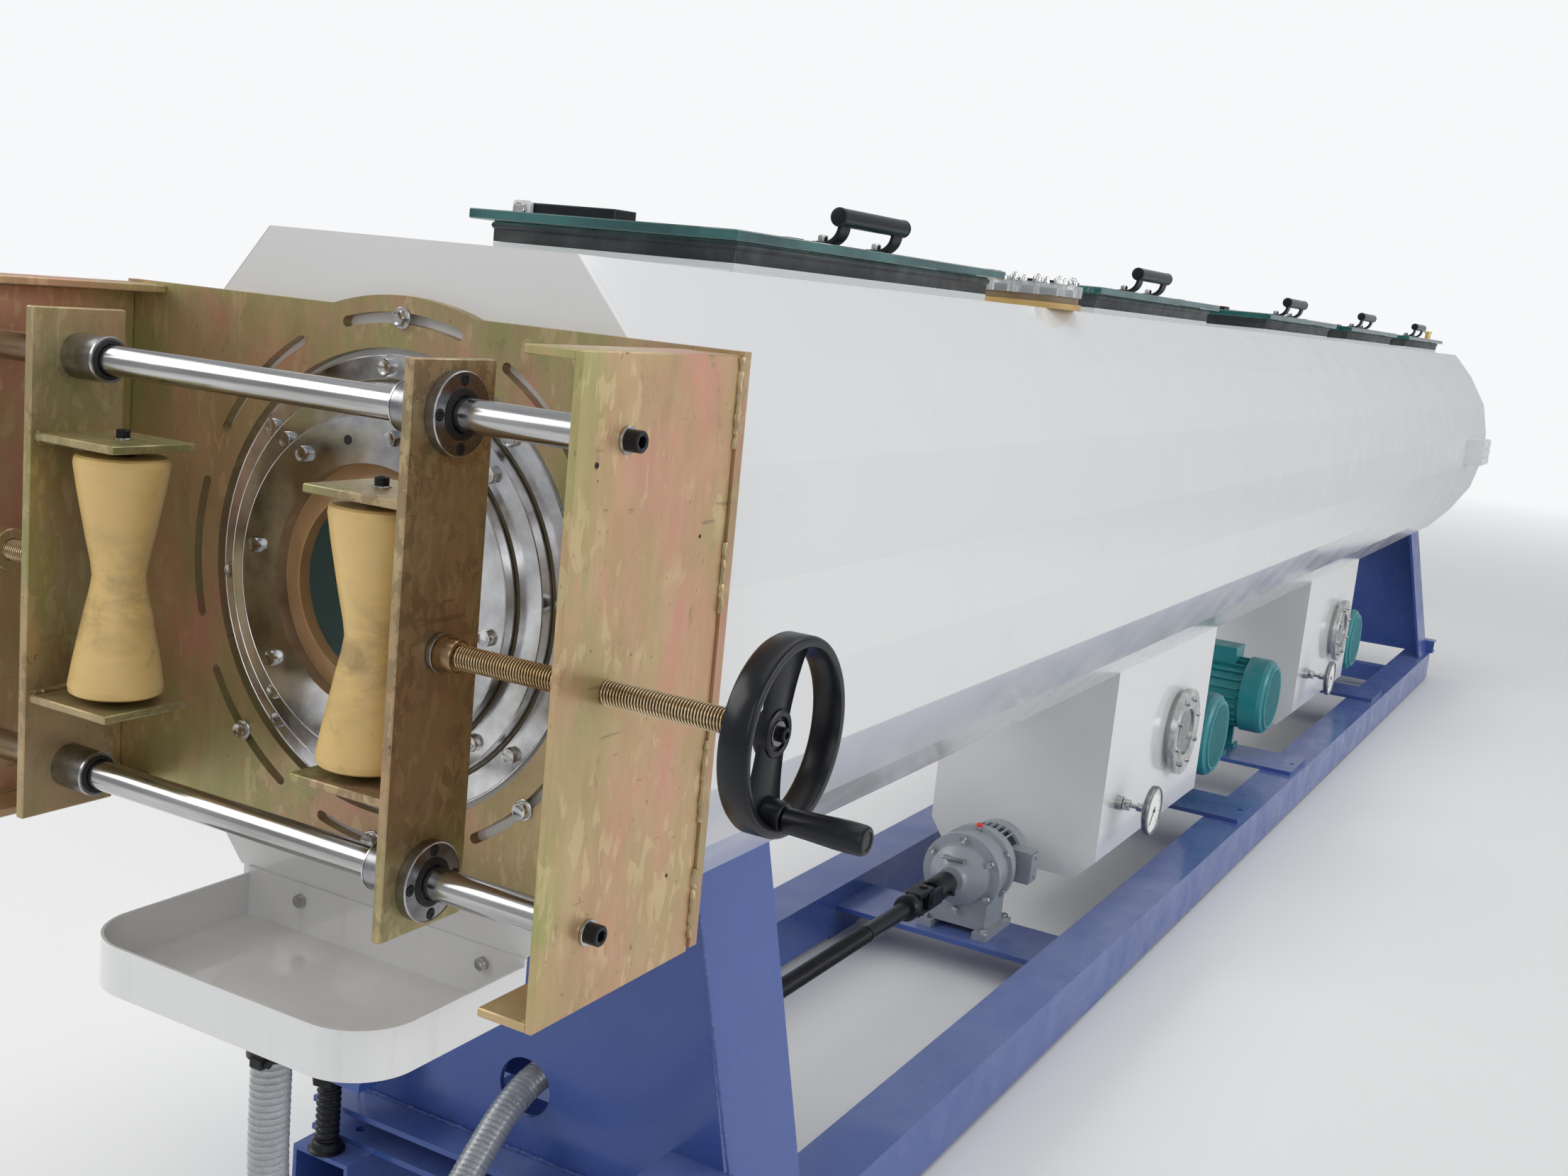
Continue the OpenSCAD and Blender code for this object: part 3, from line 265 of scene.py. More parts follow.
def yellow_zinc(name, pink, stains, drops=0.0, dark=0.0, stripe=None):
    """Yellow chromated steel: gold, pink and green films, pale flecks, water marks and scuffs, with large soft
    patches of painted shade as strong as dark.

    stripe is the x in metres where a pink stripe runs between green sides.
    """
    k = Look(name, (0.5, 0.37, 0.19), 0.42, 0.6)
    gold = k.span(((3.4, 3.4, 2.2), 6, 0.62, 0.6), 0.36, 0.64)
    gold = k.mix(gold, (0.4, 0.3, 0.135), (0.61, 0.47, 0.255))
    rose = k.span(((5.2, 5.2, 3.4), 7, 0.66, 0.5, (3, 1, 0)), 0.44, 0.57, 0, pink)
    green = k.span(((6, 6, 3.4), 7, 0.66, 0.5, (0, 7, 2)), 0.45, 0.58, 0, 0.85)
    if stripe is not None:
        off = k.span(k.away(k.where(0), stripe), 0.04, 0.115)
        cloud = k.span(((7, 7, 4), 7, 0.66, 0.4, (8, 1, 0)), 0.38, 0.6, 0.1, 1.0)
        rose = k.mix(off, cloud, k.times(rose, 0.35))
        green = k.times(green, k.span(off, 0, 1, 0.35, 1.0))
    tone = k.mix(rose, gold, (0.64, 0.305, 0.225))
    tone = k.mix(green, tone, (0.365, 0.375, 0.14))
    tone = k.stain(tone, (0.7, 0.53, 0.34), 0.46, 0.72, 0.26, (60, 60, 14), 7, 0.72, 0.2)
    flecks = k.span(((70, 70, 27), 3, 0.5, 0.5, (2, 2, 6)), 0.555, 0.585)
    patches = k.span((7, 4, 0.6, 0.0, (1, 4, 0)), 0.46, 0.54, 0, 0.42)
    tone = k.mix(k.times(flecks, patches), tone, (0.72, 0.58, 0.32))
    if drops:
        wet = k.noise((88, 88, 62), 3, 0.5, 0.35, (4, 0, 1))
        low = k.span(((8, 8, 4.5), 5, 0.65, 0.3, (0, 0, 4)), 0.44, 0.55)
        tone = k.mix(k.times(k.span(wet, 0.52, 0.545, 0, drops * 0.6), low), tone, (0.21, 0.155, 0.085))
        rim = k.span(k.away(wet, 0.515), 0.003, 0.012, drops * 0.8, 0)
        tone = k.mix(k.times(rim, low), tone, (0.12, 0.075, 0.04))
        tone = k.mix(k.times(k.span(wet, 0.575, 0.59, 0, 0.3), k.rest(low)), tone, (0.56, 0.46, 0.27))
    # Scuffs, brown spots, scratches and pits
    tone = k.stain(tone, (0.25, 0.185, 0.1), 0.6, 0.67, stains * 0.8, (34, 34, 18), 8, 0.78, 0.3, (9, 2, 5))
    tone = k.stain(tone, (0.17, 0.1, 0.052), 0.61, 0.68, stains * 0.7, (26, 26, 12), 8, 0.78, 0.3)
    tone = k.stain(tone, (0.22, 0.15, 0.095), 0.715, 0.73, 0.5, (12, 260, 90), 2, 0.5, 0.4, (1, 5, 0))
    tone = k.stain(tone, (0.07, 0.045, 0.028), 0.69, 0.73, 0.75, 150, 4, 0.6)
    # Large soft patches of painted shade, as strong as dark.
    if dark:
        tone = k.mix(k.span((3, 4, 0.6, 0.5), 0.3, 0.7, dark * 0.5, dark), tone, (0.155, 0.125, 0.08))
    k.color(tone).rough(((20, 20, 8), 7, 0.65), 0.26, 0.5)
    return k.bump((60, 6, 0.6), 0.1, 0.0008).bump(((300, 300, 60), 4), 0.06, 0.0004).mat


def polished(name, low, high, stretch, rough, depth=0.05):
    """Bare metal; stretch is the noise's scale along each axis."""
    k = Look(name, high, rough[0], 1.0)
    k.color(k.mix(k.span((stretch, 5, 0.6), 0.32, 0.66), low, high))
    k.rough(([s * 1.7 for s in stretch], 6, 0.6), *rough)
    return k.bump(([s * 4 for s in stretch], 4), depth, 0.0004).mat


def black_rubber():
    k = Look("black_rubber", (0.022, 0.023, 0.025), 0.45)
    k.color(k.mix(k.span((16, 6, 0.65), 0.42, 0.75), (0.018, 0.019, 0.021), (0.07, 0.072, 0.076)))
    return k.rough((30, 4), 0.34, 0.55).bump((260, 4), 0.15, 0.0005).mat


def black_plastic(name="black_plastic", rough=0.26, grain=500):
    k = Look(name, (0.01, 0.01, 0.011), rough).set(Specular_IOR_Level=0.28)
    k.color(k.mix((30, 4), (0.005, 0.006, 0.008), (0.011, 0.012, 0.016)))
    return k.rough((18, 5), rough * 0.8, rough * 1.35).bump((grain, 3), 0.07, 0.0004).mat


def lid_glass():
    """Clear float glass with the blue-green of its cut edges."""
    k = Look("lid_glass", (0.75, 0.93, 0.9), 0.02).set(IOR=1.5, Coat_Weight=0.6, Coat_Roughness=0.02)
    flat = k.span(k.math("ABSOLUTE", k.up()), 0.35, 0.6)
    cut = k.mix(k.span(((9, 9, 1), 3), 0.4, 0.62), (0.012, 0.075, 0.074), (0.04, 0.165, 0.16))
    k.color(k.mix(flat, cut, k.mix((2.5, 3), (0.31, 0.63, 0.59), (0.35, 0.67, 0.63))))
    k.set(Transmission_Weight=k.span(flat, 0, 1, 0.18, 0.86))
    k.rough((35, 5, 0.7), 0.015, 0.09, 0.45, 0.8)
    return k.bump((3, 2), 0.05, 0.002).mat


def clear_plastic(name="clear_plastic", tint=(0.93, 0.95, 0.95), rough=0.06):
    k = Look(name, tint, rough).set(Transmission_Weight=0.8, IOR=1.46, Coat_Weight=0.5, Coat_Roughness=0.05)
    k.color(k.mix((40, 4), tint, tuple(c * 0.86 for c in tint)))
    return k.rough((60, 4), rough, rough * 2.2).bump((90, 3), 0.12, 0.0008).mat


def brown_rubber():
    k = Look("brown_rubber", (0.36, 0.2, 0.09), 0.5)
    k.color(k.mix((18, 6, 0.6), (0.26, 0.135, 0.055), (0.47, 0.285, 0.13)))
    return k.rough((40, 4), 0.36, 0.62).bump((140, 4), 0.15, 0.0008).mat


def port_ring():
    """Two wooden brown rings, the lower one golden; they meet 1.287 metres above the floor."""
    k = Look("port_ring", (0.36, 0.24, 0.1), 0.4)
    low = k.span(k.where(2), 1.287, 1.2882, 1, 0)
    upper = k.mix(((40, 40, 300), 5), (0.155, 0.105, 0.055), (0.235, 0.165, 0.085))
    k.color(k.mix(low, upper, k.mix(((24, 24, 200), 5), (0.36, 0.215, 0.055), (0.58, 0.39, 0.14))))
    return k.rough((40, 4), 0.28, 0.5).bump(((30, 30, 500), 4), 0.15, 0.0006).mat


RUBBED_DOWN = 19


def roller_plastic():
    """Cast yellow plastic, rubbed grey and brown where the pipe runs, RUBBED_DOWN below its axis."""
    k = Look("roller_plastic", (0.62, 0.5, 0.21), 0.36).set(Subsurface_Weight=0.08, Subsurface_Scale=0.01)
    tone = k.mix((7, 4), (0.64, 0.43, 0.155), (0.74, 0.53, 0.22))
    height = k.away(k.where(2), (AXIS_H - RUBBED_DOWN) / 1000)
    worn = k.span(((16, 16, 30), 6, 0.65, 0.6), 0.4, 0.68, 0, 0.85)
    tone = k.mix(k.times(k.span(height, 0.0, 0.075, 1, 0.12), worn), tone, (0.22, 0.165, 0.085))
    k.color(k.stain(tone, (0.3, 0.225, 0.105), 0.6, 0.72, 0.55, (24, 24, 20), 6, 0.7, 0.8, (5, 2, 1)))
    return k.rough((25, 5), 0.28, 0.5).bump((35, 5), 0.12, 0.001).mat


def bronze():
    """Bright crests, painted shade in the grooves and a brown collar, by the distance from the screws' axis."""
    k = Look("bronze_screw", (0.5, 0.38, 0.22), 0.26, 0.95)
    tone = k.mix(k.span(((60, 18, 60), 5, 0.6), 0.35, 0.7), (0.6, 0.46, 0.27), (0.94, 0.79, 0.54))
    dz = k.math("ADD", k.where(2), -(AXIS_H + CLAMP_Z) / 1000)
    dx = k.math("ADD", k.where(0), (MID_X - SHAFT_X) / 1000)
    out = k.math("SQRT", k.math("ADD", k.times(dz, dz), k.times(dx, dx)))
    # Painted shade: the thread's grooves are darkened by their distance from the axis.
    groove_shade = k.times(k.span(out, 0.0099, 0.0107, 1, 0), k.span(out, 0.0085, 0.0091, 0, 1))
    tone = k.mix(k.span(out, 0.0125, 0.0135), tone, (0.3, 0.2, 0.11))
    k.color(k.mix(groove_shade, tone, (0.075, 0.045, 0.022)))
    return k.rough((120, 4), 0.18, 0.38).bump((420, 3), 0.1, 0.0003).mat


def cast_paint(name, low, high):
    """Thick glossy paint over a rough casting."""
    k = Look(name, high, 0.28).set(Coat_Weight=0.2, Coat_Roughness=0.2)
    dust = k.times(k.span(k.up(), 0.4, 0.95), k.span((26, 6, 0.65), 0.4, 0.8, 0, 0.35))
    k.color(k.mix(dust, k.mix((9, 5), low, high), (0.42, 0.42, 0.4)))
    return k.rough((28, 5), 0.28, 0.48).bump((160, 5, 0.6), 0.16, 0.0009).mat


def plain(name, low, high, rough=(0.3, 0.5), metal=0.0, scale=20, grain=0.06):
    k = Look(name, high, rough[0], metal)
    k.color(k.mix((scale, 5), low, high)).rough((scale * 2, 4), *rough)
    return k.bump((scale * 14, 3), grain, 0.0004).mat


STRIPE_X = -124
LOOKS = {
    "white": white_paint(), "tray": tray_paint(), "blue": blue_paint(),
    "zinc": yellow_zinc("yellow_zinc", 0.95, 0.5, stripe=(STRIPE_X - MID_X) / 1000),
    # The carriage plates and the face plate get patches of painted shade, set by their last argument.
    "zinc_plate": yellow_zinc("zinc_plate", 0.3, 0.45, 0.8, 0.34),
    "zinc_face": yellow_zinc("zinc_face", 0.8, 0.5, 0.0, 0.3),
    "ring": polished("ring_steel", (0.34, 0.34, 0.35), (0.78, 0.78, 0.79), (13, 13, 13), (0.09, 0.3)),
    "shaft": polished("shaft_steel", (0.3, 0.295, 0.29), (0.62, 0.62, 0.62), (60, 3, 60), (0.1, 0.24), 0.02),
    "bearing": polished("bearing_steel", (0.16, 0.16, 0.17), (0.36, 0.36, 0.38), (30, 30, 30), (0.22, 0.38)),
    "gasket": plain("olive_gasket", (0.055, 0.045, 0.022), (0.16, 0.135, 0.075), (0.35, 0.55), 0.0, 60),
    "steel": polished("bright_steel", (0.36, 0.36, 0.36), (0.68, 0.68, 0.67), (30, 30, 30), (0.12, 0.3)),
    "cast_steel": polished("cast_steel", (0.4, 0.4, 0.41), (0.66, 0.67, 0.68), (25, 25, 25), (0.28, 0.5), 0.15),
    "rubber": black_rubber(), "black": black_plastic(), "black_bar": black_plastic("black_bar", 0.13, 200),
    "black_steel": black_plastic("black_steel", 0.34, 300), "glass": lid_glass(), "clear": clear_plastic(),
    "hose": clear_plastic("hose_plastic", (0.8, 0.83, 0.86), 0.1),
    "braid": plain("hose_braid", (0.42, 0.43, 0.45), (0.72, 0.74, 0.77), (0.2, 0.35), 0.3, 60),
    "brown": brown_rubber(), "port": port_ring(), "roller": roller_plastic(), "bronze": bronze(),
    "grey": cast_paint("grey_paint", (0.235, 0.265, 0.295), (0.325, 0.36, 0.39)),
    "teal": cast_paint("teal_paint", (0.01, 0.175, 0.195), (0.022, 0.285, 0.315)),
    "pvc": plain("white_plastic", (0.7, 0.7, 0.68), (0.8, 0.8, 0.78), (0.25, 0.4)),
    "box": plain("box_plastic", (0.62, 0.63, 0.63), (0.74, 0.75, 0.75), (0.35, 0.5)),
    "brass": plain("brass_fitting", (0.5, 0.33, 0.1), (0.78, 0.58, 0.25), (0.18, 0.36), 1.0, 30),
    "dial": plain("dial_face", (0.78, 0.78, 0.76), (0.84, 0.84, 0.82), (0.4, 0.5)),
    "red": plain("red_plastic", (0.65, 0.03, 0.02), (0.8, 0.06, 0.04), (0.3, 0.4)),
    "sight": plain("sight_glass", (0.1, 0.105, 0.105), (0.2, 0.205, 0.205), (0.04, 0.12), 0.0, 8, 0.02),
    # Black for the bearing seals and dial marks, and painted shade in holes and gaps.
    "dark": plain("black_and_painted_shade", (0.006, 0.006, 0.007), (0.014, 0.014, 0.015), (0.6, 0.8)),
    "weld": plain("weld_bead", (0.24, 0.16, 0.08), (0.56, 0.45, 0.26), (0.3, 0.55), 0.7, 60, 0.3),
    "white_weld": plain("painted_weld", (0.72, 0.72, 0.71), (0.8, 0.8, 0.79), (0.18, 0.3), 0.0, 40, 0.1),
    "blue_weld": plain("blue_weld", (0.045, 0.07, 0.25), (0.07, 0.11, 0.34), (0.2, 0.35), 0.0, 40, 0.1),
}

CAD_LOOKS = {
    "white": "lid_hinges tank_walls tank_top tank_floor outlet_end_plate inlet_end_plate front_sump rear_sump",
    "tray": "drip_tray",
    "blue": "near_beam far_beam cross_members front_pedestal rear_pedestal jack_brackets",
    "zinc": "right_box left_box", "zinc_plate": "right_carriage left_carriage", "zinc_face": "face_plate",
    "ring": "outer_ring middle_ring seal_plate", "bearing": "right_bearings left_bearings",
    "steel": "front_thermometer rear_thermometer front_sight_glass rear_sight_glass",
    "cast_steel": "pump_casings",
    "rubber": "lid_1_frame lid_2_frame lid_3_frame lid_4_frame lid_5_frame",
    "glass": "lid_1_glass lid_2_glass lid_3_glass lid_4_glass lid_5_glass",
    "clear": "port_cover", "brown": "rubber_seal", "port": "port_base", "roller": "right_roller left_roller",
    "grey": "gear_reducer drive_motor", "teal": "pump_motors", "pvc": "riser_pipes", "box": "junction_box",
    "brass": "brass_valve", "shaft": "upper_shaft lower_shaft", "bronze": "right_screw left_screw",
    "black": "right_handwheel left_handwheel", "black_steel": "drive_spindle jack_screws", "hose": "drain_hose",
}
for look, names in CAD_LOOKS.items():
    for name in names.split():
        materials = NODES[name].data.materials
        materials.clear()
        materials.append(LOOKS[look])


# Shapes
def angles(n):
    return [2 * pi * k / n for k in range(n)]


def ring_of(r, z, n=24):
    return [(r * cos(a), r * sin(a), z) for a in angles(n)]


def hexagon(half, z, turn, limit):
    """A hexagon's outline, half its width across flats, with its corners cut at a radius."""
    rs = [min(half / cos((a + turn) % (pi / 3) - pi / 6), limit) for a in angles(24)]
    return [(r * cos(a), r * sin(a), z) for r, a in zip(rs, angles(24))]


def octagon(x0, x1, y0, y1, e, z):
    """A rectangle at height z with its corners cut by e."""
    return [(x0 + e, y0, z), (x1 - e, y0, z), (x1, y0 + e, z), (x1, y1 - e, z),
            (x1 - e, y1, z), (x0 + e, y1, z), (x0, y1 - e, z), (x0, y0 + e, z)]


def circle(n, r, first=0):
    """Pairs of coordinates evenly round a circle, the first at an angle in degrees."""
    turns = [radians(first + 360 / n * k) for k in range(n)]
    return [(r * cos(a), r * sin(a)) for a in turns]


def frames(points):
    """Each point of a path, with two directions across the path that don't twist."""
    pts, side = [Vector(p) for p in points], None
    for i, p in enumerate(pts):
        t = (pts[min(i + 1, len(pts) - 1)] - pts[max(i - 1, 0)]).normalized()
        side = side or t.orthogonal().normalized()
        side = (side - t * side.dot(t)).normalized()
        yield p, side, t.cross(side)


def at(x, y, z, axis="z", sign=1):
    """Puts local z along an axis of the machine, such as x or -x; a sign of -1 turns it round."""
    d = Vector([axis[-1] == name for name in "xyz"]) * (-sign if axis[0] == "-" else sign)
    turn = d.to_track_quat("Z", "Y" if axis[-1] != "y" else "X").to_matrix().to_4x4()
    turn.translation = (x, y, z)
    return turn


class Shape:
    """Vertices and faces in millimetres, gathered from many small forms."""

    def __init__(self):
        self.v, self.f = [], []

    def add(self, verts, faces, place=None):
        base = len(self.v)
        for p in verts:
            p = Vector(p)
            self.v.append(tuple(place @ p if place is not None else p))
        self.f += [tuple(i + base for i in face) for face in faces]
        return self

    def rings(self, rings, place=None, cap=(True, True)):
        """A skin through rings of equally many points; cap closes the first and the last."""
        n = len(rings[0])
        faces = []
        for i in range(len(rings) - 1):
            for k in range(n):
                a, b = i * n + k, i * n + (k + 1) % n
                faces.append((a, b, b + n, a + n))
        if cap[0]:
            faces.append(tuple(range(n - 1, -1, -1)))
        if cap[1]:
            last = (len(rings) - 1) * n
            faces.append(tuple(range(last, last + n)))
        return self.add([p for r in rings for p in r], faces, place)

    def lathe(self, profile, place=None, n=40, cap=(True, True)):
        """A round form; the profile is pairs of radius and height."""
        return self.rings([ring_of(r, z, n) for r, z in profile], place, cap)

    def band(self, profile, place, n):
        """A round skin with open ends."""
        return self.lathe(profile, place, n, (False, False))

    def block(self, p, q, c=1.0, place=None):
        """A block between two opposite corners, with chamfered edges."""
        low, high = [min(pair) for pair in zip(p, q)], [max(pair) for pair in zip(p, q)]
        out = []
        for z, d in ((low[2], c), (low[2] + c, 0), (high[2] - c, 0), (high[2], c)):
            out.append(octagon(low[0] + d, high[0] - d, low[1] + d, high[1] - d, c if d == 0 else c * 0.5, z))
        return self.rings(out, place)

    def tube(self, points, radius, n, wave=None):
        """A round sweep; radius is a number or a function of the place along it from 0 to 1."""
        out = []
        for i, (p, side, up) in enumerate(frames(points)):
            r = radius(i / (len(points) - 1)) if callable(radius) else radius
            out.append([tuple(p + (side * cos(a) + up * sin(a)) * (r + (wave(i, a) if wave else 0)))
                        for a in angles(n)])
        return self.rings(out)

    def thread(self, place, length, radius, depth, pitch, n, steps):
        """A screw thread along local z, with n points round and steps rings to a turn."""
        rows = int(length / pitch * steps)
        out = []
        for i in range(rows + 1):
            z = length * i / rows
            end = min(1.0, z / pitch, (length - z) / pitch)
            ring = []
            for k, a in enumerate(angles(n)):
                slope = abs(2 * ((z / pitch - k / n) % 1.0) - 1)
                crest = min(1.0, max(0.0, slope * 1.9 - 0.45))
                r = radius - depth * (1 - crest * end)
                ring.append((r * cos(a), r * sin(a), z))
            out.append(ring)
        return self.rings(out, place)

    def bolt(self, place, across, high, washer=0, thick=0, tail=0):
        """Washer and hexagon head; local z points away from the surface."""
        if washer:
            edge = washer - 0.5
            self.lathe([(edge, 0), (washer, 0.4), (washer, thick - 0.4), (edge, thick)], place, 28)
        turn, half, top = random.random(), across / 2, thick + high
        levels = ((half, thick, across), (half, top - 1.3, across), (half, top, half * 0.98),
                  (half, top + 0.01, half * 0.8), (half, top - 0.25, half * 0.74))
        self.rings([hexagon(q, z, turn, limit) for q, z, limit in levels], place)
        if tail:
            r = across * 0.3
            self.lathe([(r, top - 0.5), (r, top + tail - 1), (across * 0.25, top + tail)], place, 16)
        return self

    def screw(self, place, r=9, high=12, key=5):
        """A round head with a hexagon socket; local z points out of the head."""
        key_hole = [hexagon(key, high - down, 0.2, key * 1.1547) for down in (0.4, high * 0.75)]
        head = [ring_of(q, z) for q, z in ((r, 0), (r, high - 1), (r - 1, high), (key * 1.25, high))]
        return self.rings(head + key_hole, place)

    def bead(self, a, b, r, seed, ripple=3.4):
        """A weld bead from a to b, with its ripples and lumps."""
        rnd = random.Random(seed)
        a, b = Vector(a), Vector(b)
        n = max(6, int((b - a).length / ripple))
        lumps = [rnd.uniform(0.72, 1.18) for _ in range(n + 1)]
        pts = [a.lerp(b, i / n) + Vector([rnd.uniform(-0.25, 0.25) * r for _ in "xyz"]) for i in range(n + 1)]
        return self.tube(pts, lambda t: r * lumps[round(t * n)], 8)


def piece(name, shape, look, body="machine", replaces=(), smooth=35, lift=0.0):
    """A scene piece from a shape; edges sharper than smooth degrees stay sharp."""
    mesh = bpy.data.meshes.new(name)
    mesh.from_pydata([tuple(row((p[0], p[1], p[2] + lift))) for p in shape.v], [], shape.f)
    mesh.update()
    mesh.materials.append(LOOKS[look])
    mesh.set_sharp_from_angle(angle=radians(smooth))
    for p in mesh.polygons:
        p.use_smooth = True
    o = put(name, mesh)
    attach(o, body)
    if replaces:
        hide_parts(*replaces)
    return o


def clamp_piece(*what, **how):
    """A piece of the centring clamp, whose middle is a little off the pipe's axis."""
    return piece(*what, lift=CLAMP_Z, **how)


def side_at(s, y, z=0, x=SHAFT_X):
    """A place on the clamp's side s, with local z pointing out to that side."""
    return at(x, s * y, z, "y", s)


random.seed(11)


# Tank walls: one folded sheet on each side, with rounded folds
def fold(points, r, steps=4):
    """The polyline with its inner corners rounded."""
    out = [Vector(points[0])]
    for a, b, c in zip(points, points[1:], points[2:]):
        a, b, c = Vector(a), Vector(b), Vector(c)
        u, v = (a - b).normalized(), (c - b).normalized()
        reach = r * tan((pi - u.angle(v)) / 2)
        for i in range(steps + 1):
            t = i / steps
            out.append((b + u * reach).lerp(b, t).lerp(b.lerp(b + v * reach, t), t))
    return out + [Vector(points[-1])]


HALF = [(197, 348), (270, 266), (333, 163), (358, 52), (358, -52), (333, -163), (270, -266), (197, -348)]
WALL_T, WALL_END, FOLD_R, SEAM_X, SEAM_R = 4, 10.2, 14, 1.2, 1.6
walls, seam = Shape(), Shape()
for t in (-1, 1):
    outer = fold([(t * y, z) for y, z in HALF], FOLD_R)
    inner = [p * (1 - WALL_T / p.length) for p in outer]
    walls.rings([[(x, p[0], p[1]) for p in outer + inner[::-1]] for x in (WALL_END, TANK_LEN - WALL_END)])
    for x in (SEAM_X, TANK_LEN - SEAM_X):
        seam.tube([(x, p[0] * 0.998, p[1] * 0.998) for p in outer], SEAM_R, 6)
piece("tank_skin", walls, "white", replaces=("tank_walls",), smooth=20)
piece("tank_seams", seam, "white_weld")

# Seal rings and face plate, with the x of their outer faces
OUTER_X, MIDDLE_X, SEAL_X, FACE_X = -8, -24, -40, -12
RING_BOLT = (16, 6.5)


def around(r, deg, x):
    return at(x, r * cos(radians(deg)), r * sin(radians(deg)), "-x")


bolts = Shape()
for r, x, degrees in ((220, OUTER_X, range(40, 400, 45)), (188, MIDDLE_X, range(45, 405, 90)),
                      (155, SEAL_X, (8, 98, 188, 278, 143, 323, 53, 233))):
    for deg in degrees:
        bolts.bolt(around(r, deg, x), *RING_BOLT)
piece("ring_bolts", bolts, "steel")

clamp = Shape()
for deg in (45, 90, 135, 225, 270, 315):
    clamp.bolt(around(270, deg, FACE_X), *RING_BOLT, 11, 2)
piece("face_plate_bolts", clamp, "steel")

trim = Shape()
for r, x in ((233.2, OUTER_X), (205.2, MIDDLE_X), (174.2, SEAL_X)):
    trim.band([(r - 1.2, 0), (r - 0.6, 0.5), (r + 0.5, 0.4), (r + 0.6, -0.4)], at(x, 0, 0, "-x"), 96)
piece("ring_edges", trim, "steel")
gasket = Shape()
for ri, ro, x in ((206.2, 209.5, OUTER_X), (175.2, 178.5, MIDDLE_X)):
    gasket.band([(ri, 0.2), (ri + 0.6, 1.1), (ro - 0.6, 1.1), (ro, 0.2)], at(x, 0, 0, "-x"), 96)
piece("ring_gaskets", gasket, "gasket")
# A dark disc in the seal plate: painted shade inside a small hole.
hole_shade = Shape().lathe([(5, 0.15), (5, 0.4), (4.2, 0.6), (4, 0.3)], around(150, 76, SEAL_X), 24)
piece("seal_plate_hole_shade", hole_shade, "dark")

# Side channels: folded plates, shaft screws, small holes drawn as painted shade, welds
for side, (s, _) in SIDES.items():
    screws, rims, welds = Shape(), Shape(), Shape()
    for z in (SHAFT_Z, -SHAFT_Z):
        rims.lathe([(11.2, 0), (11.8, 0.5), (11.8, 2.6), (11.2, 3.2), (6.2, 3.2)],
                   side_at(s, BOX_HALF, z), 32, (True, False))
        screws.screw(side_at(s, BOX_HALF + 3.1, z), 9.3, 12.2, 5)
    box = Shape().block((BOX_X0, s * (BOX_HALF - BOX_T), -BOX_Z), (BOX_X1, s * BOX_HALF, BOX_Z), 1.2)
    flange_x0, flange_x1, flange_z = BOX_X0 + 0.4, BOX_X1 - 0.4, BOX_Z - 4.2
    for t in (-1, 1):
        box.block((flange_x0, s * (BOX_HALF - 57), t * flange_z - BOX_T / 2),
                  (flange_x1, s * (BOX_HALF - 7), t * flange_z + BOX_T / 2), 1.0)
    box.band([(11.6, 0), (21, 0), (22, 1), (22, 31), (11.6, 31)], side_at(s, BOX_HALF - 38), 40)
    clamp_piece(side + "_channel", box, "zinc", replaces=(side + "_box",))
    for i, (z0, z1) in enumerate(((276, 196), (112, 48), (-72, -150), (-196, -262))):
        welds.bead((BOX_X1, s * (BOX_HALF + 1), z0), (BOX_X1, s * (BOX_HALF + 1), z1), 3.4, 3 + s + i)
    for t in (-1, 1):
        y = s * (BOX_HALF - 9)
        welds.bead((BOX_X0 + 2, y, t * 269), (BOX_X1 - 2, y, t * 269), 2.6, 9 + s + t * 280)
    for z in (-272, 272):
        welds.bead((BOX_X1 - 2, s * (BOX_HALF - 56), z), (BOX_X1 - 2, s * (BOX_HALF - 12), z), 2.8, 17 + s + z)
    clamp_piece(side + "_box_washers", rims, "steel")
    clamp_piece(side + "_box_screws", screws, "black_steel")
    clamp_piece(side + "_box_welds", welds, "weld")
    # Dark discs on the channel: painted shade inside small holes.
    hole_shades = Shape().lathe([(2.6, 0.1), (2.6, 0.35), (2.0, 0.5), (1.9, 0.2)], side_at(s, BOX_HALF, 189, -219), 16)
    for x, z in ((-60, -190), (-55, 120)):
        hole_shades.lathe([(1.8, 0.1), (1.8, 0.3), (1.2, 0.4)], side_at(s, BOX_HALF, z, x), 10)
    clamp_piece(side + "_box_hole_shade", hole_shades, "dark")

# Guide shafts, between the channels
for name, z in (("upper_shaft", SHAFT_Z), ("lower_shaft", -SHAFT_Z)):
    e = BOX_HALF - BOX_T
    rod = Shape().lathe([(SHAFT_R - 1, 0), (SHAFT_R, 1), (SHAFT_R, 2 * e - 1), (SHAFT_R - 1, 2 * e)],
                        at(SHAFT_X, -e, z, "y"), 72)
    clamp_piece(name + "_rod", rod, "shaft", replaces=(name,))

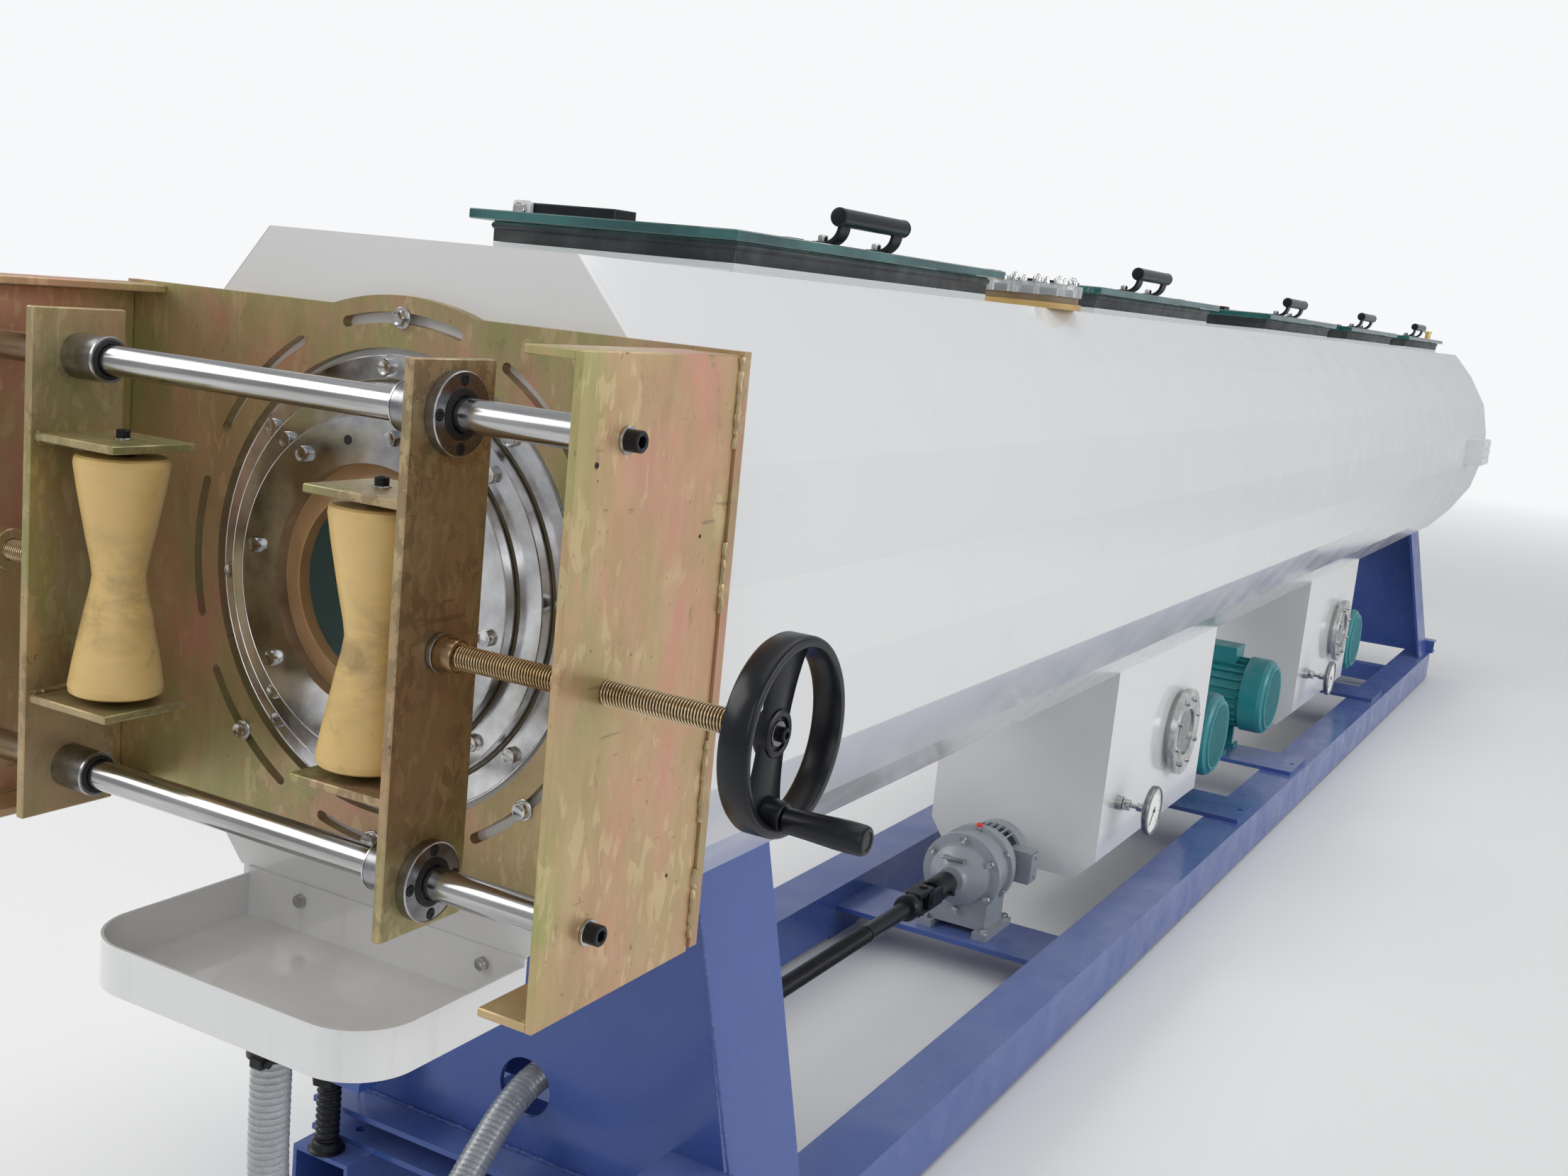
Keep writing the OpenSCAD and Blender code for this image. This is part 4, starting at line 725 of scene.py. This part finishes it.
# Carriages: plate and ledges, bearings with seals and screws, roller axle screws, welds
for side, (s, y) in SIDES.items():
    body = side + "_carriage"
    seal, screws, welds, shine, plate, bore = (Shape() for _ in range(6))
    plate.block((SHAFT_X - PLATE_X, s * (y - PLATE_T), -PLATE_Z), (SHAFT_X + PLATE_X, s * y, PLATE_Z), 1.2)
    for t in (-1, 1):
        plate.block((SHAFT_X - LEDGE_X, s * (y - ROLLER_IN - LEDGE_PAST), t * LEDGE_Z - LEDGE_T / 2),
                    (SHAFT_X + LEDGE_X, s * (y - PLATE_T + 1), t * LEDGE_Z + LEDGE_T / 2), 1.1)
    clamp_piece(side + "_plate", plate, "zinc_plate", body, (side + "_carriage",))
    for z in (SHAFT_Z, -SHAFT_Z):
        inside = at(SHAFT_X, s * (y - BUSH_LEN), z, "y", -s)
        seal.band([(22.5, 0), (22.5, 0.8), (21.6, 1.4), (16.6, 1.4), (15.6, 0.6), (15.6, 0)],
                  side_at(s, y + 10, z), 40)
        seal.band([(19.4, 0), (19.4, 0.9), (18.8, 1.3), (15.6, 1.3), (15.6, 0)], inside, 40)
        # Painted highlights: brighter steel on the bearing's edges.
        shine.band([(36.4, 9.3), (36.9, 9.8), (36.2, 10.5), (35.4, 10.3)], side_at(s, y, z), 64)
        shine.band([(21.2, 0), (22.7, 0.8), (22.9, 2.5)], inside @ Matrix.Scale(-1, 4, (0, 0, 1)), 48)
        bore.band([(15.5, -BUSH_LEN), (21.8, -BUSH_LEN), (22.5, -BUSH_LEN + 0.8), (22.5, 0.1),
                   (FLANGE_R - 0.6, 0.1), (FLANGE_R, 0.8), (FLANGE_R, 9.2), (FLANGE_R - 0.8, 10), (16.4, 10),
                   (15.5, 9.3), (15.5, -BUSH_LEN)], side_at(s, y, z), 72)
        for u, v in circle(4, FLANGE_SCREW_R):
            seal.lathe([(5.6, 10.0), (5.6, 10.12), (4.9, 10.2)], side_at(s, y, z + v, SHAFT_X + u), 24,
                       (False, True))
            screws.screw(side_at(s, y + 8.6, z + v, SHAFT_X + u), 4.7, 2.1, 2.4)
    axle_y, weld_y = s * (y - ROLLER_IN), s * (y - 12)
    for t in (1, -1):
        screws.screw(at(SHAFT_X, axle_y, t * 135.4, "z", t), 6.6, 8.2, 3.2)
        screws.lathe([(10, 0), (12, 0.4), (12, 7), (10, 7.4)], at(SHAFT_X, axle_y, t * 118, "z", t), 24)
        shine.lathe([(8.2, 0), (8.6, 0.3), (8.6, 1.3), (8.2, 1.6)], at(SHAFT_X, axle_y, t * 134, "z", t), 28)
        welds.bead((SHAFT_X - 45, weld_y, t * 124), (SHAFT_X + 45, weld_y, t * 124), 2.6, 31 + t)
        x = SHAFT_X - 46.5
        welds.bead((x, s * (y - 13), t * 125), (x, s * (y - 11), t * 135), 2.4, 35 + t)
    clamp_piece(side + "_bearing_bodies", bore, "bearing", body, (side + "_bearings",))
    clamp_piece(side + "_bearing_seals", seal, "dark", body)
    # Rings of brighter steel on the bearings' edges and by the axle screws: painted highlights.
    clamp_piece(side + "_bearing_edge_highlights", shine, "steel", body)
    clamp_piece(side + "_carriage_screws", screws, "black_steel", body)
    clamp_piece(side + "_carriage_welds", welds, "weld", body)


# Lead screws and handwheels
def lead_screw(side, s, y):
    """The collar on the carriage, the thread and the end in the wheel's hub."""
    rod, hub_y = Shape(), y + WHEEL_OFF - 16
    rod.lathe([(9, -9.8), (9, 0.2)], side_at(s, y), 24)
    rod.lathe([(14.5, 0.4), (17.2, 0.9), (17.2, 6), (16, 6.6), (16, 7.6), (17.4, 8.2), (17.4, 11), (15.6, 12),
               (15.2, 22.4), (14.2, 23.8), (10, 23.8)], side_at(s, y), 40)
    rod.thread(side_at(s, y + 23), hub_y - y - 23, SCREW_D / 2, 1.5, 3.0, 28, 8)
    rod.lathe([(8.9, 0), (8.9, 8)], side_at(s, hub_y), 24)
    clamp_piece(side + "_lead_screw", rod, "bronze", side + "_handwheel", (side + "_screw",))
    ring = Shape()
    ring.band([(17.3, 1.0), (17.9, 1.6), (17.9, 5.2), (17.3, 5.8)], side_at(s, y), 40)
    ring.band([(9.6, -6), (10.6, -5.4), (10.6, -4), (10, -3.4), (4, -3.4)], side_at(s, y + WHEEL_OFF), 32)
    clamp_piece(side + "_screw_ring", ring, "bearing", side + "_handwheel")


def wheel_web(r, h):
    """The wheel's single flat spoke, waisted at the hub."""
    web = []
    for i in range(41):
        t = -1 + 2 * i / 40
        w, top = 18.5 + 12 * abs(t) ** 2.4, -5.4 + 2.6 * abs(t) ** 2
        section = ((-1, -h + 2), (-0.86, -h + 0.6), (0.86, -h + 0.6), (1, -h + 2), (1, top - 2), (0.84, top),
                   (-0.84, top), (-1, top - 2))
        web.append([(w * c, t * (r - RIM_T + 1.0), e) for c, e in section])
    return web


def handwheel(side, s, y):
    """Rim, hub, spoke and grip; the wheel is turned WHEEL_TURN degrees from upright."""
    body, r, h, rim = side + "_handwheel", WHEEL_R, RIM_W / 2, WHEEL_R - RIM_T
    wheel, place = Shape(), side_at(s, y)
    wheel.band([(rim, -h + 1.5), (rim + 1, -h + 0.4), (r - 5, -h), (r - 2, -h + 1.0), (r, -h + 4),
                (r, h - 4), (r - 0.6, h - 1.8), (r - 2.4, h - 0.3), (r - 4.4, h), (rim + 0.8, h - 0.5),
                (rim - 0.4, h - 2.4), (rim - 1.2, -h + 5), (rim, -h + 1.5)], place, 144)
    wheel.band([(9.2, -16), (20, -16), (21, -15), (21, -h + 1), (19.6, -3.6), (17.6, -2.4), (15.4, -2.2),
                (14, -3), (13.6, -6.2), (9.2, -6.2)], place, 56)
    spin = Vector((0, 0, -1)).cross(Vector((0, s, 0)))
    turn = Matrix((spin, (0, 0, -1), (0, s, 0))).transposed().to_4x4()
    turn.translation = (SHAFT_X, s * y, 0)
    turn = turn @ Matrix.Rotation(radians(s * WHEEL_TURN), 4, "Z")
    wheel.rings(wheel_web(r, h), turn)
    grip_at = turn @ Matrix.Translation((0, rim - 7, 0))
    boss = ((15.5, -6), (14.5, 4), (13.6, h - 3), (13, h - 0.6), (12.2, h))
    wheel.rings([[(x, min(v, RIM_T + 5), z) for x, v, z in ring_of(q, z, 36)] for q, z in boss], grip_at)
    clamp_piece(side + "_wheel", wheel, "black", body, (side + "_handwheel",))
    g0, g1 = h + 0.4, GRIP_LEN + h
    grip = Shape().lathe([(8.2, g0), (10.2, g0 + 1.6), (10.4, g0 + 4), (10.9, g0 + 20), (12.2, g0 + 44),
                          (12.5, g0 + 56), (12.2, g1 - 4), (11.4, g1 - 1.2), (10.2, g1 - 0.2), (7.6, g1),
                          (7.2, g1 - 1), (4.2, g1 - 1)], grip_at, 48)
    clamp_piece(side + "_wheel_grip", grip, "black", body)
    clamp_piece(side + "_wheel_bolt", Shape().screw(side_at(s, y - 3.6), 6.2, 7.4, 3), "black_steel", body)


for side, (s, y) in SIDES.items():
    lead_screw(side, s, y)
    handwheel(side, s, y + WHEEL_OFF)


# Drain hose: clear plastic with a wire coil and braid, and its clamp
def smooth_path(points, per=8):
    """A smooth curve through the points, with per steps between two of them."""
    pts = [Vector(p) for p in points]
    out = []
    for i in range(len(pts) - 1):
        p0, p1, p2, p3 = pts[max(i - 1, 0)], pts[i], pts[i + 1], pts[min(i + 2, len(pts) - 1)]
        for k in range(per):
            t = k / per
            out.append(0.5 * ((2 * p1) + (p2 - p0) * t + (2 * p0 - 5 * p1 + 4 * p2 - p3) * t * t
                              + (3 * p1 - p0 - 3 * p2 + p3) * t ** 3))
    return out + [pts[-1]]


def path_length(pts):
    return sum((b - a).length for a, b in zip(pts, pts[1:]))


def evenly(pts, step):
    """The same path with points a step apart."""
    n = max(2, round(path_length(pts) / step))
    out, total, want = [pts[0]], 0.0, 1
    gap = path_length(pts) / n
    for a, b in zip(pts, pts[1:]):
        d = (b - a).length
        while want < n and total + d >= want * gap:
            out.append(a.lerp(b, (want * gap - total) / d))
            want += 1
        total += d
    return out + [pts[-1]]


def coil(path, radius, pitch, wire):
    """A wire wound round a path."""
    pts, run = [], 0.0
    for i, (p, side, up) in enumerate(frames(path)):
        run += (p - path[i - 1]).length if i else 0.0
        a = 2 * pi * run / pitch
        pts.append(p + (side * cos(a) + up * sin(a)) * radius)
    return Shape().tube(pts, wire, 6)


COIL_PITCH, HOSE_STEP = 7.0, 1.25
route = [p - Vector((0, 0, AXIS_H)) for p in smooth_path(HOSE)]
tube = Shape().tube(evenly(route, HOSE_STEP), HOSE_D / 2 - 0.6, 40,
                    lambda i, a: 0.55 * cos(a - 2 * pi * i * HOSE_STEP / COIL_PITCH) ** 7)
hose = piece("hose", tube, "hose", replaces=("drain_hose",), smooth=60)
piece("hose_core", Shape().tube(evenly(route, 6), HOSE_D / 2 - 4.5, 24), "braid")
piece("hose_wire", coil(evenly(route, 0.45), HOSE_D / 2 - 1.6, COIL_PITCH, 0.9), "steel")
path_m = [tuple(row(p)) for p in evenly(route, 12)]
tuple(path_m[0])
round(path_length([Vector(p) for p in path_m]), 4)
band = Shape()
cx, cy, cz = HOSE[0][0], HOSE[0][1], -424
band.band([(23.2, -6), (24.2, -5.4), (24.2, 5.4), (23.2, 6)], at(cx, cy, cz), 40)
band.block((cx - 34, cy - 20, cz - 6), (cx - 20, cy - 4, cz + 6), 1.5)
band.bolt(at(cx - 27, cy - 20, cz, "-y"), 8, 4)
piece("hose_clamp", band, "black_steel")

# Drip tray: bolts and drain mouth
tray = Shape()
for y in (103, -148):
    tray.bolt(at(-3, y, -366, "-x"), 14, 6)
piece("tray_bolts", tray, "steel")
drain = Shape().band([(17, 0.2), (17.6, 1.4), (16, 2.2), (14.6, 1.2), (14.4, -2)], at(cx, cy, -402), 32)
piece("tray_drain", drain, "steel")


# Sight glasses and thermometers
def sight_glass(tag, x):
    place = at(x, -SUMP_NEAR - NECK - 14, SIGHT_Z, "-y")
    bolts = Shape()
    for u, v in circle(8, 76, 22.5):
        bolts.bolt(at(x + u, -SUMP_NEAR - NECK - 14, SIGHT_Z + v, "-y"), 10, 4.5, 7.5, 1.4, 2)
    ring = Shape().band([(93.4, -13.6), (93.4, -1.6), (91.8, 0.5), (60, 0.5), (57, -0.6), (52.6, -1.2),
                         (52.4, -4)], place, 96)
    piece(tag + "_sight_bolts", bolts, "steel")
    piece(tag + "_sight_ring", ring, "steel")
    piece(tag + "_sight_pane", Shape().lathe([(52.3, -4.6), (52.3, -4.0), (48, -3.4)], place, 64), "sight")


def thermometer(tag, x):
    """The dial with its marks, hand, bezel and nuts; the marks span 270 degrees."""
    y = -SUMP_NEAR - 64
    place, hand_at = at(x, y, THERMO_Z, "-y"), at(x, y - 15.2, THERMO_Z, "-y")
    piece(tag + "_dial_face", Shape().lathe([(45.8, 14.1), (45.8, 14.6)], place, 64), "dial")
    marks = Shape()
    for i in range(41):
        a = radians(225 - 270 * i / 40)
        r0, w = (35, 0.7) if i % 5 == 0 else (39, 0.35)
        marks.add([(x + r * cos(a) + q * sin(a), y - 14.8, THERMO_Z + r * sin(a) - q * cos(a))
                   for r, q in ((r0, -w), (r0, w), (43, w), (43, -w))], [(0, 1, 2, 3)])
    hand = Shape().block((-10, -1.1, 0), (34, 1.1, 0.6), 0.2, hand_at @ Matrix.Rotation(radians(140), 4, "Z"))
    hand.lathe([(4, 0), (4, 1.2), (3, 1.8)], hand_at, 20)
    piece(tag + "_dial_marks", marks, "dark")
    piece(tag + "_dial_hand", hand, "black_steel")
    # The bezel is chrome; the darker bearing steel paints in the dark reflection it shows.
    bezel = Shape().band([(50.3, 4.6), (50.9, 6), (50.9, 15.2), (49.6, 17.2), (46.6, 17.6), (45.9, 15),
                          (45.9, 14)], place, 72)
    piece(tag + "_dial_bezel", bezel, "bearing")
    nut = Shape().bolt(at(x, -SUMP_NEAR - 15, THERMO_Z, "-y"), 22, 14)
    nut.bolt(at(x, -SUMP_NEAR - 44, THERMO_Z, "-y"), 17, 14)
    piece(tag + "_dial_nuts", nut, "steel")


for tag, x in zip(("front", "rear"), SUMP_X):
    sight_glass(tag, x + SIGHT_OFF)
    thermometer(tag, x + THERMO_OFF)
    piece(tag + "_sump_plug", Shape().bolt(at(x + 560, -SUMP_NEAR, -640, "-y"), 14, 8), "steel")


# Lids: seals, handle brackets and hinge arms
def ring_band(shape, box, levels):
    """A band round a rectangle: box is x0, x1, half width; levels are height and how far out."""
    x0, x1, half = box
    out = [octagon(x0 - d, x1 + d, -(half + d), half + d, 5, z) for z, d in levels]
    return shape.rings(out, None, (False, False))


def bent_strip(shape, x, line, width, thick):
    """A flat strip with rounded edges along a line of y and z."""
    section = ((-1, -0.8, 0), (-1, 0.8, 0), (-1, 1, 0.5), (1, 1, 0.5), (1, 0.8, 0), (1, -0.8, 0), (1, -1, 0.5),
               (-1, -1, 0.5))
    rings = []
    for k, (y, z) in enumerate(line):
        (ya, za), (yb, zb) = line[max(k - 1, 0)], line[min(k + 1, len(line) - 1)]
        d = hypot(yb - ya, zb - za)
        ny, nz = -(zb - za) / d * thick / 2, (yb - ya) / d * thick / 2
        rings.append([(x + q * (width / 2 - e), y + f * ny, z + f * nz) for q, f, e in section])
    shape.rings(rings)


rims = Shape()
for i, (x0, x1) in enumerate(LIDS, 1):
    body = "lid_%d" % i
    low, z1, side_y = FLAT_Z + RIM_H, FLAT_Z + FRAME_H, LID_HALF + GLASS_OVER
    zb = z1 + GLASS_T
    box = (x0 + GLASS_END, x1 - GLASS_END, LID_HALF)
    lip = ring_band(Shape(), box, ((low + 0.5, 0.1), (low + 1.4, 0.9), (z1 - 11, 0.9), (z1 - 9.6, 1.4),
                                   (z1 - 8, 3.6), (z1 - 5, 4.8), (z1 - 2, 3.8), (z1 - 0.4, 1.2)))
    piece(body + "_lip", lip, "rubber", body, smooth=50)
    ring_band(rims, box, ((FLAT_Z + 0.1, 2.6), (FLAT_Z + 1.0, 1.0), (FLAT_Z + 3.0, 0.1)))
    pane = Shape().block((x0, -side_y, z1), (x1, side_y, zb), 1.3)
    piece(body + "_pane", pane, "glass", body, (body + "_glass",))
    bar, feet, screws, arms = (Shape() for _ in range(4))
    mid, hy, zh, half, r = (x0 + x1) / 2, HANDLE_Y, zb + HANDLE_H - HANDLE_R, HANDLE_LEN / 2, HANDLE_R
    bar.band([(r + 0.1, -half + 4), (r + 0.1, half - 4)], at(mid, hy, zh, "x"), 40)
    for t in (-1, 1):
        feet.lathe([(r + 0.05, -4.2), (r + 0.5, -3.8), (r + 0.5, -1.2), (r - 0.6, 0), (r - 2, 0.25), (1, 0.3)],
                   at(mid + t * half, hy, zh, "x", t), 40, (False, True))
        xf, bend = mid + t * (half - 5 - FOOT_W / 2), 23.5
        line = [(hy, zh - 3), (hy, zb + 26)]
        line += [(hy + bend * (1 - cos(pi / 24 * k)), zb + 26 - bend * sin(pi / 24 * k)) for k in range(1, 12)]
        line += [(hy + bend, zb + 2.5), (hy + bend + 14, zb + 2.5)]
        bent_strip(feet, xf, line, FOOT_W + 0.3, 5.3)
        screws.lathe([(7.4, 0), (7.8, 0.4), (7.8, 1.4), (4.6, 1.8), (6.6, 2.2), (6.6, 6.4), (5.2, 8.2), (1, 9)],
                     at(xf, hy + bend + 5, zb + 5), 24)
    piece(body + "_handle_bar", bar, "black_bar", body, smooth=60)
    piece(body + "_handle_feet", feet, "black", body)
    half_w = ARM_W / 2
    for xa in (x0 + HINGE_IN, x1 - HINGE_IN):
        arms.block((xa - half_w - 0.1, side_y - ARM_LEN - 0.1, zb),
                   (xa + half_w + 0.1, HINGE_Y - 8, zb + ARM_T + 0.1), 1.6)
        screws.bolt(at(xa - half_w - 7, HINGE_Y, HINGE_Z, "-x"), 17, 7)
        screws.bolt(at(xa + half_w + 7, HINGE_Y, HINGE_Z, "x"), 17, 6, 10, 1.5)
    piece(body + "_hinge_arms", arms, "black", body)
    piece(body + "_lid_screws", screws, "steel", body)
piece("lid_rim_welds", rims, "white_weld")

port = Shape()
for u, v in circle(12, PORT_R - 15):
    port.bolt(at(PORT[0] + u, PORT[1] + v, FLAT_Z + 38), 13, 8, 9.5, 1.6, 4)
piece("port_bolts", port, "steel")

# Spindle: threaded rod, universal joint and the stub into the gear reducer
JOINT_X, ROD_X0, ROD_R = DRIVE_X - 225, PED_X + PED_LEN - 60, 15
ROD_X1 = JOINT_X - 238
YOKE_LEN, YOKE_Y, PIN = 46, 17, [(8.5, 0), (8.5, 3), (7.5, 4)]


def drive(x, y, z):
    """A place beside the spindle's axis."""
    return x, SPINDLE_Y + y, SPINDLE_Z + z


def on_spindle(x):
    return at(*drive(x, 0, 0), "x")


rod = Shape()
rod.thread(on_spindle(ROD_X0), ROD_X1 - ROD_X0, ROD_R, 1.3, 5.0, 20, 6)
rod.lathe([(ROD_R, 0), (ROD_R, 170)], on_spindle(ROD_X1), 32)
rod.lathe([(16, 0), (22, 2), (24, 5), (24, 20), (22.5, 24), (20, 38)], on_spindle(JOINT_X - 80), 36)
rod.lathe([(20, 0), (23, 6), (24, 12), (24, 64), (22, 70), (14, 73)], on_spindle(JOINT_X + 40), 36)
rod.lathe([(14, 0), (14, 40)], on_spindle(JOINT_X + 80), 24)
for t in (-1, 1):
    d = t * YOKE_Y
    rod.block(drive(JOINT_X - YOKE_LEN, -YOKE_Y, d - 5), drive(JOINT_X + 15, YOKE_Y, d + 5), 2.2)
    rod.block(drive(JOINT_X - 15, d - 5, -YOKE_Y), drive(JOINT_X + YOKE_LEN, d + 5, YOKE_Y), 2.2)
    rod.lathe(PIN, at(*drive(JOINT_X, t * 21, 0), "y", t), 20)
    rod.lathe(PIN, at(*drive(JOINT_X, 0, t * 21), "z", t), 20)
rod.block(drive(JOINT_X - 11, -14, -14), drive(JOINT_X + 11, 14, 14), 2.5)
rod.screw(at(*drive(JOINT_X + 74, -23, -4), "-y"), 5, 10, 2.4)
piece("spindle", rod, "black_steel", replaces=("drive_spindle",))

# Jack screws, on the front pedestal's brackets
jack = Shape()
for t in (-1, 1):
    x, y = PED_X - 56 - 26, t * (BEAM_OUT - 47 + 6)
    jack.thread(at(x, y, BEAM_TOP + 12), 86, 16, 2.4, 9.0, 28, 8)
    jack.lathe([(24, 0), (24, 3), (21, 5), (19.5, 12), (17.5, 14), (15, 15)], at(x, y, BEAM_TOP), 36)
    jack.lathe([(13, 0), (14, 1), (14, 25), (12, 27)], at(x, y, BEAM_TOP + 113), 24)
    jack.bolt(at(x, y, BEAM_TOP + 96), 44, 18)
piece("jack_rods", jack, "black_steel", replaces=("jack_screws",))

# Gear motor: bolts, plate, red plug, fins with painted shade between them, and box cover
gear = Shape()
for u, v in circle(6, 1, 30):
    gear.bolt(at(*drive(DRIVE_X - 52, 71 * u, 71 * v), "-x"), 13, 6)
    gear.bolt(at(*drive(DRIVE_X + 20, 75 * u, 75 * v), "-x"), 11, 5)
for t in (-1, 1):
    for x in (DRIVE_X - 52, DRIVE_X + 58):
        gear.bolt(at(x, SPINDLE_Y + t * 62, DRIVE_TOP + 14), 14, 8)
piece("gear_bolts", gear, "cast_steel")
piece("gear_plate", Shape().block(drive(DRIVE_X - 88, -20, 36), drive(DRIVE_X - 56, 26, 40), 0.8), "steel")
PLUG = [(6, -3), (7, 0), (7, 4), (5, 6.5), (1, 7.4)]
piece("gear_plug", Shape().lathe(PLUG, at(*drive(DRIVE_X + 26, 0, 79)), 20), "red")
MOTOR_X, FIN_LEN = DRIVE_X + 66, 52
# A dark band under the fins: painted shade in the gaps between them.
piece("motor_fin_gap_shade", Shape().band([(58.4, 0), (58.4, FIN_LEN)], on_spindle(MOTOR_X), 48), "dark")
fins = Shape()
for deg in range(0, 360, 12):
    if not 225 < deg < 315:
        place = Matrix.Translation(drive(MOTOR_X, 0, 0)) @ Matrix.Rotation(-radians(deg), 4, "X")
        fins.block((0, -1.6, 56), (FIN_LEN, 1.6, 66.5), 0.7, place)
piece("motor_fins", fins, "grey")
cover = Shape().block(drive(DRIVE_X + 78, -99, -28), drive(DRIVE_X + 114, -95, 30), 1.5)
for z in (-24, 26):
    cover.bolt(at(*drive(DRIVE_X + 96, -99, z * 0.8), "-y"), 6, 3)
piece("motor_box_cover", cover, "grey")

# Pump motors: fan grilles with painted shade behind them, and bolts
GRILLE_Y, GRILLE_R = -205, 78
for letter, x in zip("abc", PUMP_X):
    tag = "pump_" + letter
    grille, dark, bolts = Shape(), Shape(), Shape()
    for i in range(17):
        h = -72 + 9 * i
        w = sqrt(max(GRILLE_R ** 2 - h * h, 0))
        if w > 8:
            mid = x + h
            grille.block((mid - 1.6, GRILLE_Y - 2, PUMP_Z - w), (mid + 1.6, GRILLE_Y + 1.5, PUMP_Z + w), 0.5)
    place = at(x, GRILLE_Y, PUMP_Z, "-y")
    grille.band([(GRILLE_R, -2), (79, 1), (83, 2.4), (88, 0.6), (90, -3)], place, 64)
    # A dark disc behind the grille: painted shade inside the fan cowl.
    dark.lathe([(GRILLE_R - 0.5, 0.2), (GRILLE_R - 0.5, 0.5)], place, 48)
    for u, v in circle(4, 101, 45):
        bolts.bolt(at(x + u, -150, PUMP_Z + v, "-y"), 6, 3)
    for t in (-1, 1):
        for y in (-95, -35):
            bolts.bolt(at(x + t * 72, y, BEAM_TOP + 22), 12, 6, 9, 1.5)
    piece(tag + "_grille", grille, "teal")
    piece(tag + "_grille_shade", dark, "dark")
    piece(tag + "_bolts", bolts, "steel")

# Base: welds and screws
welds = Shape()
for t in (-1, 1):
    welds.bead((PED_X - 1, t * 197, -350), (PED_X - 1, t * 298, BEAM_TOP + 50), 2.2, 61 + t)
    welds.bead((PED_X + 4, t * 303, BEAM_TOP + 2), (PED_X + PED_LEN, t * 303, BEAM_TOP + 2), 3.0, 63 + t)
welds.bead((PED_X - 2, -296, BEAM_TOP + 49), (PED_X - 2, 296, BEAM_TOP + 49), 2.8, 67)
piece("base_welds", welds, "blue_weld")
base = Shape()
for y in (-190, 190):
    base.screw(at(PED_X - 8, y, BEAM_TOP + 24, "-x"), 8, 6, 4)
piece("base_screws", base, "black_steel")

# White caps on the rear sump's end, and junction box covers
caps = Shape()
for z in (-395, -470):
    caps.lathe([(26, 0), (26, 14), (23, 18), (1, 18.5)], at(SUMP_X[1] + SUMP_LEN, -120, z, "x"), 32)
piece("sump_caps", caps, "pvc")
covers = Shape()
for z in (-46, -16, 14):
    covers.block((TANK_LEN - 552, -422, z + 3), (TANK_LEN - 368, -417, z + 27), 1.5)
piece("junction_covers", covers, "box")


# Stage and light
def make_floor():
    """A pale floor that fades into the backdrop far from the machine."""
    mesh = bpy.data.meshes.new("floor")
    mesh.from_pydata([(-40, -40, 0), (60, -40, 0), (60, 60, 0), (-40, 60, 0)], [], [(0, 1, 2, 3)])
    o = put("floor", mesh)
    k = Look("floor", (0.8, 0.8, 0.79), 0.7).set(Specular_IOR_Level=0.2)
    far = k.node("VectorMath", k.coords, operation="LENGTH").outputs["Value"]
    clear = k.node("BsdfTransparent").outputs[0]
    blend = k.node("MixShader", k.span(far, 5.0, 13.0), k.shader.outputs[0], clear)
    k.feed(k.tree.nodes["Material Output"], "Surface", blend.outputs[0])
    mesh.materials.append(k.mat)
    o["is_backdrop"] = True


def make_world():
    """Grey light all round, with a paler backdrop where the camera sees it or looks through glass."""
    world = bpy.data.worlds.new("studio")
    bpy.context.scene.world = world
    world.use_nodes = True
    k = Tree(world.node_tree)
    rays = k.node("LightPath").outputs
    seen = k.math("MAXIMUM", rays["Is Camera Ray"], rays["Is Transmission Ray"])
    k.feed(k.tree.nodes["Background"], "Color", k.mix(seen, (0.46, 0.47, 0.49), (0.93, 0.94, 0.95)))


def area(name, place, aim, size, power, color=(1, 1, 1)):
    """A rectangular lamp; size is its two sides in metres."""
    data = bpy.data.lights.new(name, "AREA")
    data.shape = "RECTANGLE"
    data.size, data.size_y = size
    data.energy, data.color = power, color
    o = put(name, data)
    o.location = place
    o.rotation_mode = "QUATERNION"
    o.rotation_quaternion = (Vector(aim) - Vector(place)).to_track_quat("-Z", "Y")


make_floor()
bpy.context.scene.view_settings.view_transform = "Standard"
make_world()
area("window", (-4.5, 5.0, 4.2), (-1.5, 0, 0.8), (7, 3), 210, (1, 0.99, 0.96))
area("top", (-0.5, -0.5, 6.5), (-0.5, 0, 0), (10, 4), 150)
area("side", (0.5, -7.5, 3.0), (-0.8, 0, 0.6), (9, 2.6), 230, (0.98, 0.99, 1))
area("front", (-7.5, -2.5, 3.2), (-2, 0, 0.7), (4, 3), 44)

low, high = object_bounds()
{"cad_low": list(CAD_LOW), "cad_high": list(CAD_HIGH), "visual_low": list(low), "visual_high": list(high)}
